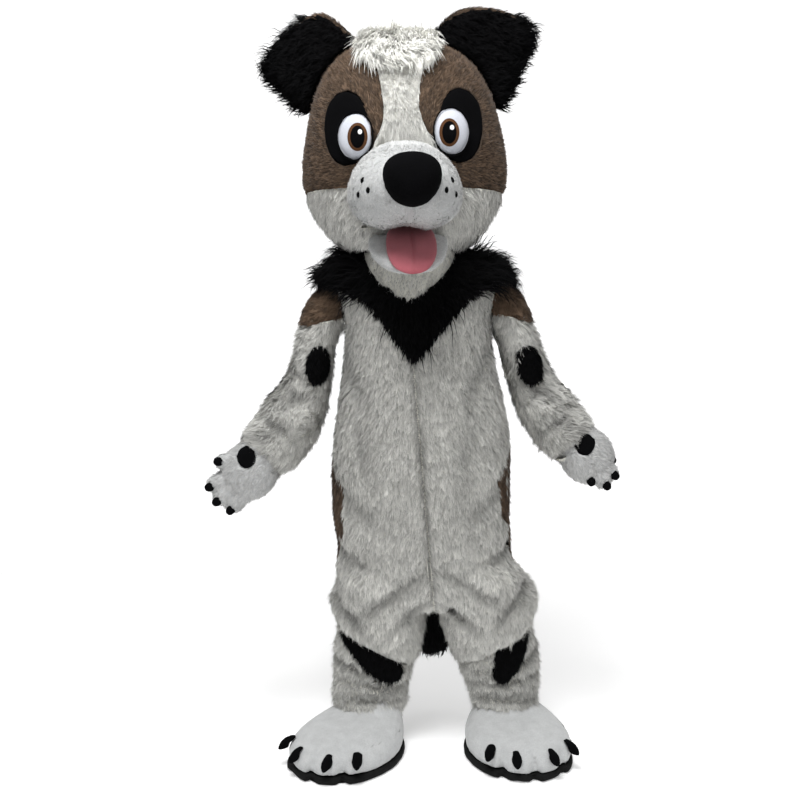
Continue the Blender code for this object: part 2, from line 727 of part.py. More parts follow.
# The hollow's roof lies this far under the paw's top
SHOE_ROOF = 0.006
SOLE = [
    FootRow(0.000, 0.100, 0.180, 0.133),
    FootRow(0.004, 0.100, 0.184, 0.137),
    FootRow(0.014, 0.100, 0.184, 0.137),
    FootRow(0.018, 0.100, 0.180, 0.133),
]
TOE_DEPTH = 0.007
# Where each ankle stands and the way its toes point, in degrees outward from straight ahead
FEET = {
    "left": (Vector((-0.120, -0.035)), -30.0),
    "right": (Vector((0.239, 0.000)), 12.0),
}
FOOT_AROUND = 20


def foot_point(side, row, angle, inset=0.0):
    """A point of a foot's outline at a level; angle 0 is at the toes, 90 at the outer side."""
    ankle, toe_turn = FEET[side]
    heading = math.radians(toe_turn)
    ahead_way = Vector((math.sin(heading), -math.cos(heading)))
    side_way = Vector((math.cos(heading), math.sin(heading)))
    theta = math.radians(angle)
    narrowing = 1.0 - 0.20 * max(0.0, -math.cos(theta))
    toes = TOE_DEPTH * max(0.0, math.cos(theta)) * math.cos(math.radians(8 * angle))
    ahead = row.ahead + (row.half_length - inset + toes) * power(math.cos(theta), 0.88)
    sideways = (row.half_width - inset) * narrowing * power(math.sin(theta), 0.88)
    spot = ankle + ahead_way * ahead + side_way * sideways
    return Vector((spot.x, spot.y, row.height))


def foot_rings(side, table, count, around, inset=0.0, reach=0.0):
    rings = []
    for number, row in enumerate(blended(table, count)):
        if number == 0:
            row = row._replace(height=row.height - reach)
        if number == count - 1:
            row = row._replace(height=row.height + reach)
        rings.append([foot_point(side, row, 360.0 * i / around, inset) for i in range(around)])
    return rings


FootClaw = namedtuple("FootClaw", "angle height")
FOOT_CLAWS = [FootClaw(-50, 0.062), FootClaw(-19, 0.056), FootClaw(16, 0.056), FootClaw(48, 0.060)]


def claw_rings(base, direction, length, radius, droop, around=7):
    """A blunt curved claw from inside its paw to its tip."""
    direction = Vector(direction).normalized()
    across = direction.cross(Vector((0, 0, 1))).normalized()
    up = across.cross(direction)
    rings = []
    for share, width in ((-0.5, 1.0), (0.3, 0.94), (0.7, 0.70), (0.93, 0.36), (1.0, 0.12)):
        middle = Vector(base) + direction * (length * share)
        middle -= Vector((0, 0, 1)) * (droop * max(share, 0.0) ** 2)
        ring = []
        for i in range(around):
            turn = 2 * math.pi * i / around
            ring.append(
                middle + across * (radius * width * math.cos(turn))
                + up * (radius * width * math.sin(turn))
            )
        rings.append(ring)
    return rings


SHINS = {"left": LEFT_SHIN, "right": RIGHT_SHIN}
SHIN_SPOTS = {
    "left": Spot((-0.120, 0.0, 0.270), (0.06, -1, 0), 0.112, 0.044, -0.80),
    "right": Spot((0.238, 0.0, 0.272), (0.12, -1, 0), 0.036, 0.092, -0.45),
}
foot_clear = {}
for side in FEET:
    panel(
        "sole_" + side,
        loft("sole", foot_rings(side, SOLE, 4, FOOT_AROUND)), SOLE_FOAM, [],
    )
    top = FOOT_TOP[side]
    upper = loft("foot", foot_rings(side, top, 8, FOOT_AROUND))
    roof = top[:3] + [row._replace(height=row.height - SHOE_ROOF) for row in top[3:6]] + top[6:]
    hollow = helper(
        side + "_foot_hollow",
        loft("foot", foot_rings(side, roof, 8, 12, inset=SHOE_WALL, reach=0.01)),
    )
    panel("foot_" + side, upper, WHITE_VELBOA, [("DIFFERENCE", hollow)])
    foot_clear[side] = helper(
        side + "_foot_clear",
        loft("foot", foot_rings(side, top, 8, FOOT_AROUND, inset=-SEAM, reach=SEAM)),
    )
    claw_clear = helper(
        side + "_claw_clear",
        loft("foot", foot_rings(side, top, 8, FOOT_AROUND, inset=-2 * SEAM, reach=SEAM)),
    )
    for number, claw in enumerate(FOOT_CLAWS, 1):
        level = FootRow(claw.height, 0.096, 0.180, 0.134)
        base = foot_point(side, level, claw.angle, inset=0.004)
        ankle, toe_turn = FEET[side]
        heading = math.radians(toe_turn + claw.angle * 0.62)
        way = (math.sin(heading), -math.cos(heading), -0.10)
        panel(
            f"foot_claw_{side}_{number}",
            loft("claw", claw_rings(base, way, 0.032, 0.0152, 0.010)),
            BLACK_FELT,
            [("DIFFERENCE", claw_clear)],
        )
    shin = loft("shin", leg_rings(SHINS[side], [], 1 if side == "right" else -1, 7, 18))
    shin_hollow = helper(
        side + "_shin_hollow",
        loft("shin", leg_rings(SHINS[side], [], 1 if side == "right" else -1, 5, 10,
                               inset=PLUSH_WALL, reach=HEM_REACH)),
    )
    shin_wall = combined(
        side + "_shin_wall", shin,
        [("DIFFERENCE", shin_hollow), ("DIFFERENCE", legs_clear), ("DIFFERENCE", foot_clear[side])],
    )
    piece, hole = arm_patch("shin_spot_" + side, *SHIN_SPOTS[side])
    panel("shin_" + side, shin_wall, WHITE_PLUSH, [("DIFFERENCE", hole)])
    panel("shin_spot_" + side, shin_wall, BLACK_PLUSH, [("INTERSECT", piece)])

# The stuffed tail hangs from the seat
TAIL = [
    LimbRow(0.040, 0.130, 0.470, 0.022, 0.022),
    LimbRow(0.042, 0.185, 0.440, 0.034, 0.034),
    LimbRow(0.046, 0.232, 0.390, 0.056, 0.052),
    LimbRow(0.052, 0.256, 0.320, 0.076, 0.066),
    LimbRow(0.056, 0.262, 0.245, 0.080, 0.068),
    LimbRow(0.056, 0.256, 0.175, 0.060, 0.050),
    LimbRow(0.056, 0.250, 0.142, 0.026, 0.022),
]
panel(
    "tail", loft("tail", limb_rings(TAIL, [], 10, 12)), BLACK_PLUSH,
    [("DIFFERENCE", body_clear), ("DIFFERENCE", legs_clear)],
)

def dome(name, centre, radii, turn=None, across=16, up=10):
    """A closed ellipsoid from Blender's sphere."""
    bm = bmesh.new()
    bmesh.ops.create_uvsphere(bm, u_segments=across, v_segments=up, radius=1.0)
    bmesh.ops.scale(bm, vec=radii, verts=bm.verts)
    if turn:
        bmesh.ops.transform(bm, matrix=turn.to_matrix().to_4x4(), verts=bm.verts)
    bmesh.ops.translate(bm, vec=centre, verts=bm.verts)
    return mesh_of(bm, name)


# Hand paws: a palm tucked into the cuff, three fingers and a thumb, hollow for the hand
Digit = namedtuple("Digit", "start tip radius")
LEFT_PALM = [
    LimbRow(-0.378, -0.028, 0.792, 0.060, 0.056),
    LimbRow(-0.396, -0.032, 0.771, 0.062, 0.057),
    LimbRow(-0.410, -0.036, 0.751, 0.073, 0.058),
    LimbRow(-0.426, -0.042, 0.729, 0.078, 0.052),
    LimbRow(-0.446, -0.048, 0.708, 0.072, 0.045),
    LimbRow(-0.464, -0.052, 0.692, 0.056, 0.034),
]
LEFT_DIGITS = [
    Digit((-0.440, -0.046, 0.745), (-0.512, -0.060, 0.762), 0.024),
    Digit((-0.466, -0.050, 0.720), (-0.534, -0.062, 0.690), 0.027),
    Digit((-0.456, -0.052, 0.700), (-0.514, -0.064, 0.650), 0.029),
    Digit((-0.436, -0.050, 0.684), (-0.478, -0.060, 0.625), 0.028),
]
RIGHT_PALM = [
    LimbRow(0.398, -0.028, 0.822, 0.056, 0.054),
    LimbRow(0.414, -0.032, 0.806, 0.058, 0.055),
    LimbRow(0.426, -0.036, 0.790, 0.069, 0.056),
    LimbRow(0.440, -0.042, 0.768, 0.073, 0.051),
    LimbRow(0.456, -0.048, 0.746, 0.068, 0.044),
    LimbRow(0.468, -0.052, 0.730, 0.054, 0.033),
]
RIGHT_DIGITS = [
    Digit((0.452, -0.024, 0.780), (0.514, -0.020, 0.752), 0.023),
    Digit((0.470, -0.048, 0.756), (0.514, -0.058, 0.716), 0.026),
    Digit((0.456, -0.054, 0.740), (0.490, -0.068, 0.690), 0.027),
    Digit((0.432, -0.050, 0.736), (0.450, -0.060, 0.698), 0.026),
]
PALM_HOLLOW = 0.008
GLOVES = {"left": (LEFT_PALM, LEFT_DIGITS), "right": (RIGHT_PALM, RIGHT_DIGITS)}


def digit_rings(digit, inset=0.0, around=8):
    """A blunt finger from inside the palm to its rounded tip."""
    start = Vector(digit.start)
    way = (Vector(digit.tip) - start).normalized()
    end = Vector(digit.tip) - way * (inset * 0.7)
    across = way.cross(Vector((0, 1, 0))).normalized()
    front = across.cross(way)
    radius = digit.radius - inset
    rings = []
    for back, width in ((None, 0.92), (0.8, 1.0), (0.3, 0.80), (0.0, 0.34)):
        middle = start if back is None else end - way * (back * radius)
        rings.append(
            [middle + across * (radius * width * math.cos(2 * math.pi * i / around))
             + front * (radius * width * math.sin(2 * math.pi * i / around))
             for i in range(around)]
        )
    return rings


def swollen(name, mesh, distance):
    """A closed volume with each point moved out along its normal."""
    bm = bmesh.new()
    bm.from_mesh(mesh)
    bm.normal_update()
    moves = [(vert, vert.normal * (distance * vert.calc_shell_factor())) for vert in bm.verts]
    for vert, move in moves:
        vert.co += move
    return helper(name, mesh_of(bm, name))


def glove_volume(name, side, inset=0.0, reach=0.0, grow_count=6, around=12, keep=1.0):
    """The palm with its fingers joined on, as one closed volume."""
    palm, digits = GLOVES[side]
    sides = 6 if inset > 0 else 8
    rings = limb_rings(palm, [], grow_count, around, inset)
    if reach:
        lead = (Vector(rings[0][0]) - Vector(rings[1][0])).normalized()
        rings[0] = [Vector(point) + lead * reach for point in rings[0]]
    steps = []
    for number, digit in enumerate(digits):
        finger = helper(f"{name}_{number}", loft("finger", digit_rings(digit, inset, sides)))
        steps.append(("UNION", finger))
    return combined(name, loft(name, rings), steps, keep=keep)


# Claws on the hand paws: padded ovals on the back of each fingertip
HAND_PATCHES = {
    "left": Spot((-0.424, -0.036, 0.768), (-0.10, -1, 0.10), 0.024, 0.029, 0.45),
    "right": Spot((0.420, -0.036, 0.800), (0.16, -1, 0.10), 0.023, 0.029, -0.45),
}
for side, (palm, digits) in GLOVES.items():
    table, folds = SLEEVE_TABLES[side]
    cuff_inner = helper(
        side + "_cuff_inner",
        loft("cuff", limb_rings(table, folds, SLEEVE_IN_ROWS, SLEEVE_IN_AROUND,
                                inset=PLUSH_WALL + SEAM, reach=HEM_REACH)),
    )
    cuff = helper(
        side + "_cuff",
        combined(
            side + "_cuff",
            loft("cuff", limb_rings(table, folds, SLEEVE_ROWS, SLEEVE_AROUND, -SEAM, SEAM)),
            [("DIFFERENCE", cuff_inner)],
        ),
    )
    volume = glove_volume(side + "_glove", side, keep=0.6)
    hollow = helper(
        side + "_glove_hollow",
        glove_volume(side + "_glove_hollow", side, PALM_HOLLOW, 0.03, 5, 8, keep=0.6),
    )
    glove_clear = swollen(side + "_glove_clear", volume, SEAM)
    glove_wall = combined(
        side + "_glove_wall", volume, [("DIFFERENCE", hollow), ("DIFFERENCE", cuff)]
    )
    piece, hole = arm_patch("hand_spot_" + side, *HAND_PATCHES[side])
    panel("glove_" + side, glove_wall, WHITE_VELBOA, [("DIFFERENCE", hole)])
    panel("hand_spot_" + side, glove_wall, BLACK_FELT, [("INTERSECT", piece)])
    for number, digit in enumerate(digits, 1):
        way = (Vector(digit.tip) - Vector(digit.start)).normalized()
        spot = Vector(digit.tip) - way * 0.012 + Vector((0, -0.72 * digit.radius, 0))
        turn = way.to_track_quat("X", "Z")
        panel(
            f"hand_claw_{side}_{number}", dome("claw", spot, (0.016, 0.010, 0.013), turn, 7, 5),
            BLACK_FELT, [("DIFFERENCE", glove_clear)],
        )

# The head: level rows from the neck to the crown
HEAD = [
    TrunkRow(1.285, -0.026, 0.140, 0.118, 0.168),
    TrunkRow(1.308, -0.028, 0.176, 0.146, 0.200),
    TrunkRow(1.349, -0.030, 0.214, 0.170, 0.232),
    TrunkRow(1.410, -0.030, 0.248, 0.188, 0.256),
    TrunkRow(1.470, -0.028, 0.262, 0.198, 0.268),
    TrunkRow(1.530, -0.028, 0.257, 0.201, 0.270),
    TrunkRow(1.600, -0.030, 0.244, 0.198, 0.264),
    TrunkRow(1.660, -0.032, 0.229, 0.187, 0.250),
    TrunkRow(1.720, -0.034, 0.204, 0.163, 0.222),
    TrunkRow(1.768, -0.036, 0.164, 0.128, 0.176),
    TrunkRow(1.798, -0.038, 0.112, 0.084, 0.118),
    TrunkRow(1.812, -0.040, 0.050, 0.036, 0.052),
]


def head_rings(count, around, inset=0.0, reach=0.0):
    rings = []
    for number, row in enumerate(blended(HEAD, count)):
        height = row.height
        if number == 0:
            height -= reach
        if number == count - 1:
            height -= inset * 1.2
        ring = []
        for i in range(around):
            angle = 2 * math.pi * i / around
            cosine = math.cos(angle)
            depth = (row.front if cosine > 0 else row.back) - inset
            x = row.centre + (row.half_width - inset) * power(math.sin(angle), 0.94)
            ring.append((x, -depth * power(cosine, 0.94), height))
        rings.append(ring)
    return rings


HEAD_ROWS, HEAD_AROUND = 13, 24
head_inner = helper("head_inner", loft("head", head_rings(9, 14, HEAD_WALL, 0.05)))
head_clear = helper("head_clear", loft("head", head_rings(HEAD_ROWS, HEAD_AROUND, -SEAM, SEAM)))
head_wall = combined(
    "head_wall", loft("head", head_rings(HEAD_ROWS, HEAD_AROUND)),
    [("DIFFERENCE", head_inner), ("DIFFERENCE", body_clear)],
)

# The white blaze widens into a forelock at the top and towards the muzzle below
BLAZE = smooth_outline([
    (-0.110, 1.515), (-0.028, 1.480), (0.052, 1.515), (0.026, 1.565), (0.004, 1.625),
    (0.010, 1.700), (0.020, 1.730), (0.062, 1.775), (0.050, 1.850), (-0.045, 1.880),
    (-0.140, 1.850), (-0.150, 1.775), (-0.100, 1.730), (-0.090, 1.700), (-0.078, 1.625),
    (-0.086, 1.565),
], 2)
blaze_piece, blaze_hole = cut_pair("blaze", BLAZE, "xz", -FAR, 0.007, (0, 1))
CHEEK_SEAM = 1.428
below_cheek = half_space("below_cheek", (0, 0, CHEEK_SEAM), (0, 0.06, 1))
above_cheek = half_space("above_cheek", (0, 0, CHEEK_SEAM + SEAM), (0, -0.06, -1))
EYE_PATCHES = {
    "left": Spot((-0.152, -0.10, 1.572), (-0.30, -1, 0.12), 0.062, 0.092, 0.16),
    "right": Spot((0.088, -0.10, 1.580), (0.30, -1, 0.12), 0.062, 0.092, -0.16),
}
patch_holes = []
upper_wall = combined("upper_wall", head_wall, [("DIFFERENCE", blaze_hole)])
upper_wall = combined("upper_wall", upper_wall, [("INTERSECT", above_cheek)])
for side, spot in EYE_PATCHES.items():
    piece, hole = arm_patch("eye_patch_" + side, *spot)
    panel("eye_patch_" + side, upper_wall, BLACK_FELT, [("INTERSECT", piece)])
    patch_holes.append(("DIFFERENCE", hole))
upper_wall = combined("upper_wall", upper_wall, patch_holes)
HEAD_MIDDLE = -0.036
head_half = {
    "left": half_space("head_left_half", (HEAD_MIDDLE - SEAM / 2, 0, 0), (1, 0, 0)),
    "right": half_space("head_right_half", (HEAD_MIDDLE + SEAM / 2, 0, 0), (-1, 0, 0)),
}
for side, half in head_half.items():
    panel("head_" + side, upper_wall, TAUPE_PLUSH, [("INTERSECT", half)])
lower_cheeks = combined("lower_cheeks", head_wall, [("DIFFERENCE", blaze_hole)])
panel("cheeks", lower_cheeks, WHITE_PLUSH, [("INTERSECT", below_cheek)])


beside_blaze = helper(
    "beside_blaze", combined("beside_blaze", head_clear.data, [("DIFFERENCE", blaze_piece)])
)
forelock = helper(
    "forelock",
    combined(
        "forelock", dome(
            "forelock", (-0.045, -0.086, 1.792), (0.106, 0.086, 0.060), None, 14, 8
        ),
        [("DIFFERENCE", beside_blaze), ("DIFFERENCE", head_inner)],
    ),
)
blaze_wall = combined("blaze_wall", head_wall, [("INTERSECT", blaze_piece)])
panel("blaze", blaze_wall, WHITE_PLUSH, [("UNION", forelock)])

# Muzzle, jaw, tongue and nose: upright rings one behind the other, from the head forwards
SnoutRow = namedtuple("SnoutRow", "y centre height half_width up down")
MUZZLE = [
    SnoutRow(-0.120, -0.030, 1.440, 0.132, 0.125, 0.100),
    SnoutRow(-0.190, -0.029, 1.438, 0.136, 0.116, 0.106),
    SnoutRow(-0.240, -0.028, 1.436, 0.134, 0.100, 0.108),
    SnoutRow(-0.290, -0.026, 1.434, 0.126, 0.088, 0.104),
    SnoutRow(-0.335, -0.022, 1.434, 0.110, 0.076, 0.090),
    SnoutRow(-0.370, -0.018, 1.436, 0.082, 0.058, 0.066),
    SnoutRow(-0.388, -0.016, 1.438, 0.046, 0.032, 0.038),
]
JAW = [
    SnoutRow(-0.120, -0.022, 1.325, 0.098, 0.024, 0.066),
    SnoutRow(-0.190, -0.021, 1.304, 0.098, 0.020, 0.056),
    SnoutRow(-0.245, -0.019, 1.280, 0.090, 0.016, 0.040),
    SnoutRow(-0.290, -0.017, 1.258, 0.070, 0.013, 0.026),
    SnoutRow(-0.318, -0.016, 1.244, 0.038, 0.008, 0.012),
]
TONGUE = [
    SnoutRow(-0.165, -0.016, 1.345, 0.048, 0.006, 0.016),
    SnoutRow(-0.200, -0.015, 1.328, 0.060, 0.007, 0.014),
    SnoutRow(-0.250, -0.013, 1.300, 0.063, 0.008, 0.014),
    SnoutRow(-0.295, -0.012, 1.272, 0.057, 0.008, 0.014),
    SnoutRow(-0.325, -0.012, 1.250, 0.044, 0.008, 0.010),
    SnoutRow(-0.340, -0.012, 1.238, 0.022, 0.006, 0.006),
]
NOSE = [
    SnoutRow(-0.355, -0.0135, 1.444, 0.058, 0.054, 0.058),
    SnoutRow(-0.385, -0.0130, 1.444, 0.068, 0.062, 0.066),
    SnoutRow(-0.410, -0.0125, 1.444, 0.064, 0.057, 0.061),
    SnoutRow(-0.428, -0.0125, 1.445, 0.047, 0.040, 0.044),
    SnoutRow(-0.436, -0.0125, 1.446, 0.020, 0.016, 0.018),
]


def snout_rings(table, count, around, top_narrow=0.0, lip=0.0):
    """Rings across the face. top_narrow tapers the upper half, lip lifts the middle below."""
    rings = []
    for row in blended(table, count):
        ring = []
        for i in range(around):
            angle = 2 * math.pi * i / around
            cosine = math.cos(angle)
            high = row.up if cosine > 0 else row.down
            width = row.half_width * (1 - top_narrow * cosine)
            x = row.centre + width * power(math.sin(angle), 0.92)
            z = row.height + high * power(cosine, 0.92)
            if cosine < 0:
                z += lip * math.exp(-(((x - row.centre) / 0.034) ** 2))
            ring.append((x, row.y, z))
        rings.append(ring)
    return rings


MUZZLE_SHAPE = {"top_narrow": 0.16, "lip": 0.018}
muzzle_shape = loft("muzzle", snout_rings(MUZZLE, 8, 20, **MUZZLE_SHAPE))
jaw_shape = loft("jaw", snout_rings(JAW, 5, 14))
muzzle_clear = swollen("muzzle_clear", muzzle_shape, SEAM)
jaw_clear = swollen("jaw_clear", jaw_shape, SEAM)
panel("muzzle", muzzle_shape, WHITE_VELBOA, [("DIFFERENCE", head_clear)])
panel(
    "jaw", jaw_shape, WHITE_VELBOA,
    [("DIFFERENCE", head_clear), ("DIFFERENCE", muzzle_clear)],
)
panel(
    "tongue", loft("tongue", snout_rings(TONGUE, 7, 10)), PINK_FELT,
    [("DIFFERENCE", jaw_clear), ("DIFFERENCE", muzzle_clear), ("DIFFERENCE", head_clear)],
)
panel(
    "nose", loft("nose", snout_rings(NOSE, 6, 14, top_narrow=-0.14)), BLACK_FELT,
    [("DIFFERENCE", muzzle_clear)],
)

# Eyes: shallow oval domes on the face
EYES = {
    "left": ((-0.146, -0.178, 1.558), Vector((-0.34, -1, 0.10))),
    "right": ((0.082, -0.180, 1.568), Vector((0.34, -1, 0.10))),
}
EYE_RADII = (0.046, 0.058, 0.026)
for side, (centre, outward) in EYES.items():
    turn = outward.to_track_quat("Z", "Y")
    panel(
        "eye_" + side, dome("eye", centre, EYE_RADII, turn, 14, 8), EYE_WHITE,
        [("DIFFERENCE", head_clear), ("DIFFERENCE", muzzle_clear)],
    )

# Ears: folded over at the top, so each is two layers thick
LEFT_EAR = smooth_outline([
    (-0.105, 1.745), (-0.150, 1.820), (-0.222, 1.880), (-0.268, 1.876), (-0.330, 1.815),
    (-0.374, 1.745), (-0.345, 1.705), (-0.290, 1.652), (-0.236, 1.620), (-0.160, 1.660),
], 2)
RIGHT_EAR = smooth_outline([
    (0.150, 1.660), (0.205, 1.640), (0.232, 1.690), (0.262, 1.768), (0.288, 1.822),
    (0.240, 1.880), (0.160, 1.897), (0.092, 1.885), (0.040, 1.825), (0.036, 1.745),
], 2)
EarLevel = namedtuple("EarLevel", "y scale")
EAR_LEVELS = [
    EarLevel(-0.046, 0.72), EarLevel(-0.038, 0.92), EarLevel(-0.018, 1.0),
    EarLevel(0.012, 1.0), EarLevel(0.030, 0.92), EarLevel(0.038, 0.72),
]
for side, outline in (("left", LEFT_EAR), ("right", RIGHT_EAR)):
    middle = sum(outline, Vector((0, 0))) / len(outline)
    rings = []
    for level in EAR_LEVELS:
        ring = []
        for point in outline:
            spot = middle + (point - middle) * level.scale
            ring.append((spot.x, level.y + 0.02, spot.y))
        rings.append(ring)
    panel("ear_" + side, loft("ear", rings), BLACK_PLUSH, [("DIFFERENCE", head_clear)])

# The neck bib: a pale collar from under the chin down inside the yoke's neck opening
NECK_LEVELS = (1.166, 1.220, 1.275, 1.330)
neck_outline = oval(NECK_CENTRE, NECK_HALF_WIDTH - SEAM, NECK_HALF_DEPTH - SEAM, NECK_AROUND)
neck_rings = [[(x, y, level) for x, y in neck_outline] for level in NECK_LEVELS]
neck_hollow = prism(
    "neck_hollow",
    oval(NECK_CENTRE, NECK_HALF_WIDTH - PLUSH_WALL, NECK_HALF_DEPTH - PLUSH_WALL, NECK_AROUND),
    "xy", 1.10, 1.60,
)
panel(
    "neck_bib", loft("neck", neck_rings), WHITE_PLUSH,
    [("DIFFERENCE", neck_hollow), ("DIFFERENCE", head_clear), ("DIFFERENCE", jaw_clear)],
)

bpy.context.view_layer.update()
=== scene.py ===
import math

import bmesh
import bpy
import numpy as np
from mathutils import Matrix, Vector
from mathutils.bvhtree import BVHTree


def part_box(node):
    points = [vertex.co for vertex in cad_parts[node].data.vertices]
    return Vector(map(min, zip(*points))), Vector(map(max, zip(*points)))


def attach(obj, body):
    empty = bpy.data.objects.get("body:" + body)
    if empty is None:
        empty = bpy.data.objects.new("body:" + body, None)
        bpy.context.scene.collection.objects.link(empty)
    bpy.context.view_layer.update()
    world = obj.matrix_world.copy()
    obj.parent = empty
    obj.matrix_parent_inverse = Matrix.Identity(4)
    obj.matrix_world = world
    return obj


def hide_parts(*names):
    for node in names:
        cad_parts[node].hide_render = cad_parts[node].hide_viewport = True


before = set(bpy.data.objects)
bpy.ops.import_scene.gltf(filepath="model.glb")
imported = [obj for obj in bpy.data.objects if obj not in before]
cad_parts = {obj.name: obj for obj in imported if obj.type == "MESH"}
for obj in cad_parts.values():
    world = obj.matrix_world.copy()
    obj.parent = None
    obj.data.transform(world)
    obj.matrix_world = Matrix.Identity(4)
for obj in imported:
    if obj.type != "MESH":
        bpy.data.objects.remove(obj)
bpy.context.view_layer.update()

# The studio: a small pale floor under the soles, a white surround behind it, soft light from
# in front and behind, and the eye-level camera three metres in front of the costume.
WHITE = (1.0, 1.0, 1.0, 1.0)
FLOOR = -1.262
FLOOR_GAP = 0.0005
FLOOR_HALF_WIDTH = 1.7
FLOOR_GLOW = 0.28
SURROUND_RADIUS = 26.0
ROOM_LIGHT = 0.36
CAMERA_TILT = 83.5
LAMPS_AIM_AT = Vector((0.0, 0.0, -0.2))
# name, place, width, watts
SOFTBOXES = (
    ("key_softbox", (-0.4, -1.55, 2.4), 1.4, 100.0),
    ("fill_softbox", (2.6, -2.4, 1.6), 2.4, 12.0),
    ("back_softbox", (0.6, 3.0, 2.0), 2.4, 40.0),
)


def put_in_scene(name, data):
    """A new object of a mesh, lamp or camera, in the scene's own collection."""
    thing = bpy.data.objects.new(name, data)
    bpy.context.scene.collection.objects.link(thing)
    return thing


def mesh_of(shape, name):
    """The mesh that a bmesh makes, which frees the bmesh."""
    data = bpy.data.meshes.new(name)
    shape.to_mesh(data)
    shape.free()
    return data


camera = put_in_scene("camera", bpy.data.cameras.new("camera"))
camera.data.lens = 52.56
camera.data.sensor_width = 36.0
camera.location = (-0.04, -3.0, -0.012)
camera.rotation_euler = (math.radians(CAMERA_TILT), 0.0, 0.0)
bpy.context.scene.camera = camera

studio = bmesh.new()
bmesh.ops.create_grid(studio, x_segments=1, y_segments=1, size=FLOOR_HALF_WIDTH)
bmesh.ops.translate(studio, verts=studio.verts, vec=(0.0, 0.0, FLOOR - FLOOR_GAP))
floor = put_in_scene("studio_floor", mesh_of(studio, "studio_floor"))

paper = bpy.data.materials.new("studio_paper")
paper.use_nodes = True
paper_inputs = paper.node_tree.nodes["Principled BSDF"].inputs
paper_inputs["Base Color"].default_value = (0.97, 0.97, 0.97, 1.0)
paper_inputs["Roughness"].default_value = 0.9
paper_inputs["Emission Color"].default_value = WHITE
paper_inputs["Emission Strength"].default_value = FLOOR_GLOW
floor.data.materials.append(paper)

# a white surround that only the camera sees
surround = bmesh.new()
bmesh.ops.create_uvsphere(surround, u_segments=24, v_segments=16, radius=SURROUND_RADIUS)
white_surround = put_in_scene("white_surround", mesh_of(surround, "white_surround"))
white_surround.visible_diffuse = False
white_surround.visible_glossy = False
white_surround.visible_transmission = False
white_surround.visible_shadow = False
glow = bpy.data.materials.new("white_glow")
glow.use_nodes = True
glow_inputs = glow.node_tree.nodes["Principled BSDF"].inputs
glow_inputs["Emission Color"].default_value = WHITE
glow_inputs["Emission Strength"].default_value = 1.0
white_surround.data.materials.append(glow)

room = bpy.data.worlds.new("studio_room")
room.use_nodes = True
room.node_tree.nodes["Background"].inputs["Color"].default_value = WHITE
room.node_tree.nodes["Background"].inputs["Strength"].default_value = ROOM_LIGHT
bpy.context.scene.world = room
bpy.context.scene.view_settings.view_transform = "Standard"

for label, place, width, watts in SOFTBOXES:
    lamp = put_in_scene(label, bpy.data.lights.new(label, "AREA"))
    lamp.data.size = width
    lamp.data.energy = watts
    lamp.location = place
    lamp.rotation_euler = (LAMPS_AIM_AT - lamp.location).to_track_quat("-Z", "Y").to_euler()


# The two front panels: white long-pile plush, cut in one from chest to knee and sewn down
# the middle, where the closing is hidden under the pile. They bag over the knees.
FRONT_PILE = 0.016
FRONT_SINK = 0.007
TAUPE_SHADE = 0.18
# the cloth's own thickness, and the most that its panel is thick before it counts as a cut edge
CLOTH_WALL = 0.002
THICKEST_PANEL = 0.03

# the whole costume as one surface, and even directions in which open air is looked for
suit_points, suit_faces = [], []
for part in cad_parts.values():
    start = len(suit_points)
    suit_points += [v.co.copy() for v in part.data.vertices]
    suit_faces += [[start + i for i in face.vertices] for face in part.data.polygons]
whole_suit = BVHTree.FromPolygons(suit_points, suit_faces)
LOOK_COUNT = 40
GOLDEN_TURN = 2.39996
# how flat a look may run, how far off the cloth it starts, and how far it goes
LOOK_SLANT, LOOK_START, LOOK_END = 0.1, 0.001, 3.0
LOOKS = []
for step in range(LOOK_COUNT):
    height = 1.0 - 2.0 * (step + 0.5) / LOOK_COUNT
    spin = step * GOLDEN_TURN
    flat = math.sqrt(1.0 - height * height)
    LOOKS.append(Vector((flat * math.cos(spin), flat * math.sin(spin), height)))


def daylight(place, way):
    """How many of the looks out from a place on the cloth, round its normal, meet open air."""
    outward = [look for look in LOOKS if look.dot(way) > LOOK_SLANT]
    start = place + way * LOOK_START
    return sum(1 for look in outward if whole_suit.ray_cast(start, look, LOOK_END)[0] is None)


def lining_faces(mesh, thickest):
    """The faces of a cut panel that are its lining side or its cut edge."""
    own = BVHTree.FromBMesh(mesh)
    hidden = []
    for face in mesh.faces:
        middle = face.calc_center_median()
        across = own.ray_cast(middle - face.normal * 0.0002, -face.normal)
        if across[0] is None or across[3] > thickest:
            hidden.append(face)
        elif daylight(middle, face.normal) < daylight(across[0], -face.normal):
            hidden.append(face)
    return hidden


# a fold fades at its ends along this stretch of a sine, and sideways over so many reaches, on
# cloth that faces its side by at least so much
FOLD_START, FOLD_SPAN, FOLD_WIDTH, FOLD_FACING = 0.12, 0.76, 2.5, 0.25


def press(mesh, folds):
    """Soft troughs or ridges along lines given by their ends as seen from in front."""
    mesh.normal_update()
    for side, x0, z0, x1, z1, depth, reach in folds:
        line = Vector((x1 - x0, z1 - z0))
        for vert in mesh.verts:
            if vert.normal.y * side > FOLD_FACING:
                off = Vector((vert.co.x - x0, vert.co.z - z0))
                along = min(1.0, max(0.0, off.dot(line) / line.length_squared))
                away = (off - line * along).length / reach
                if away < FOLD_WIDTH:
                    fade = math.sin(math.pi * (FOLD_START + FOLD_SPAN * along))
                    vert.co -= vert.normal * depth * fade * math.exp(-away * away)


# points nearer than this are one, and pile grows where more looks than this meet open air
WELD = 0.00002
FEWEST_LOOKS = 2


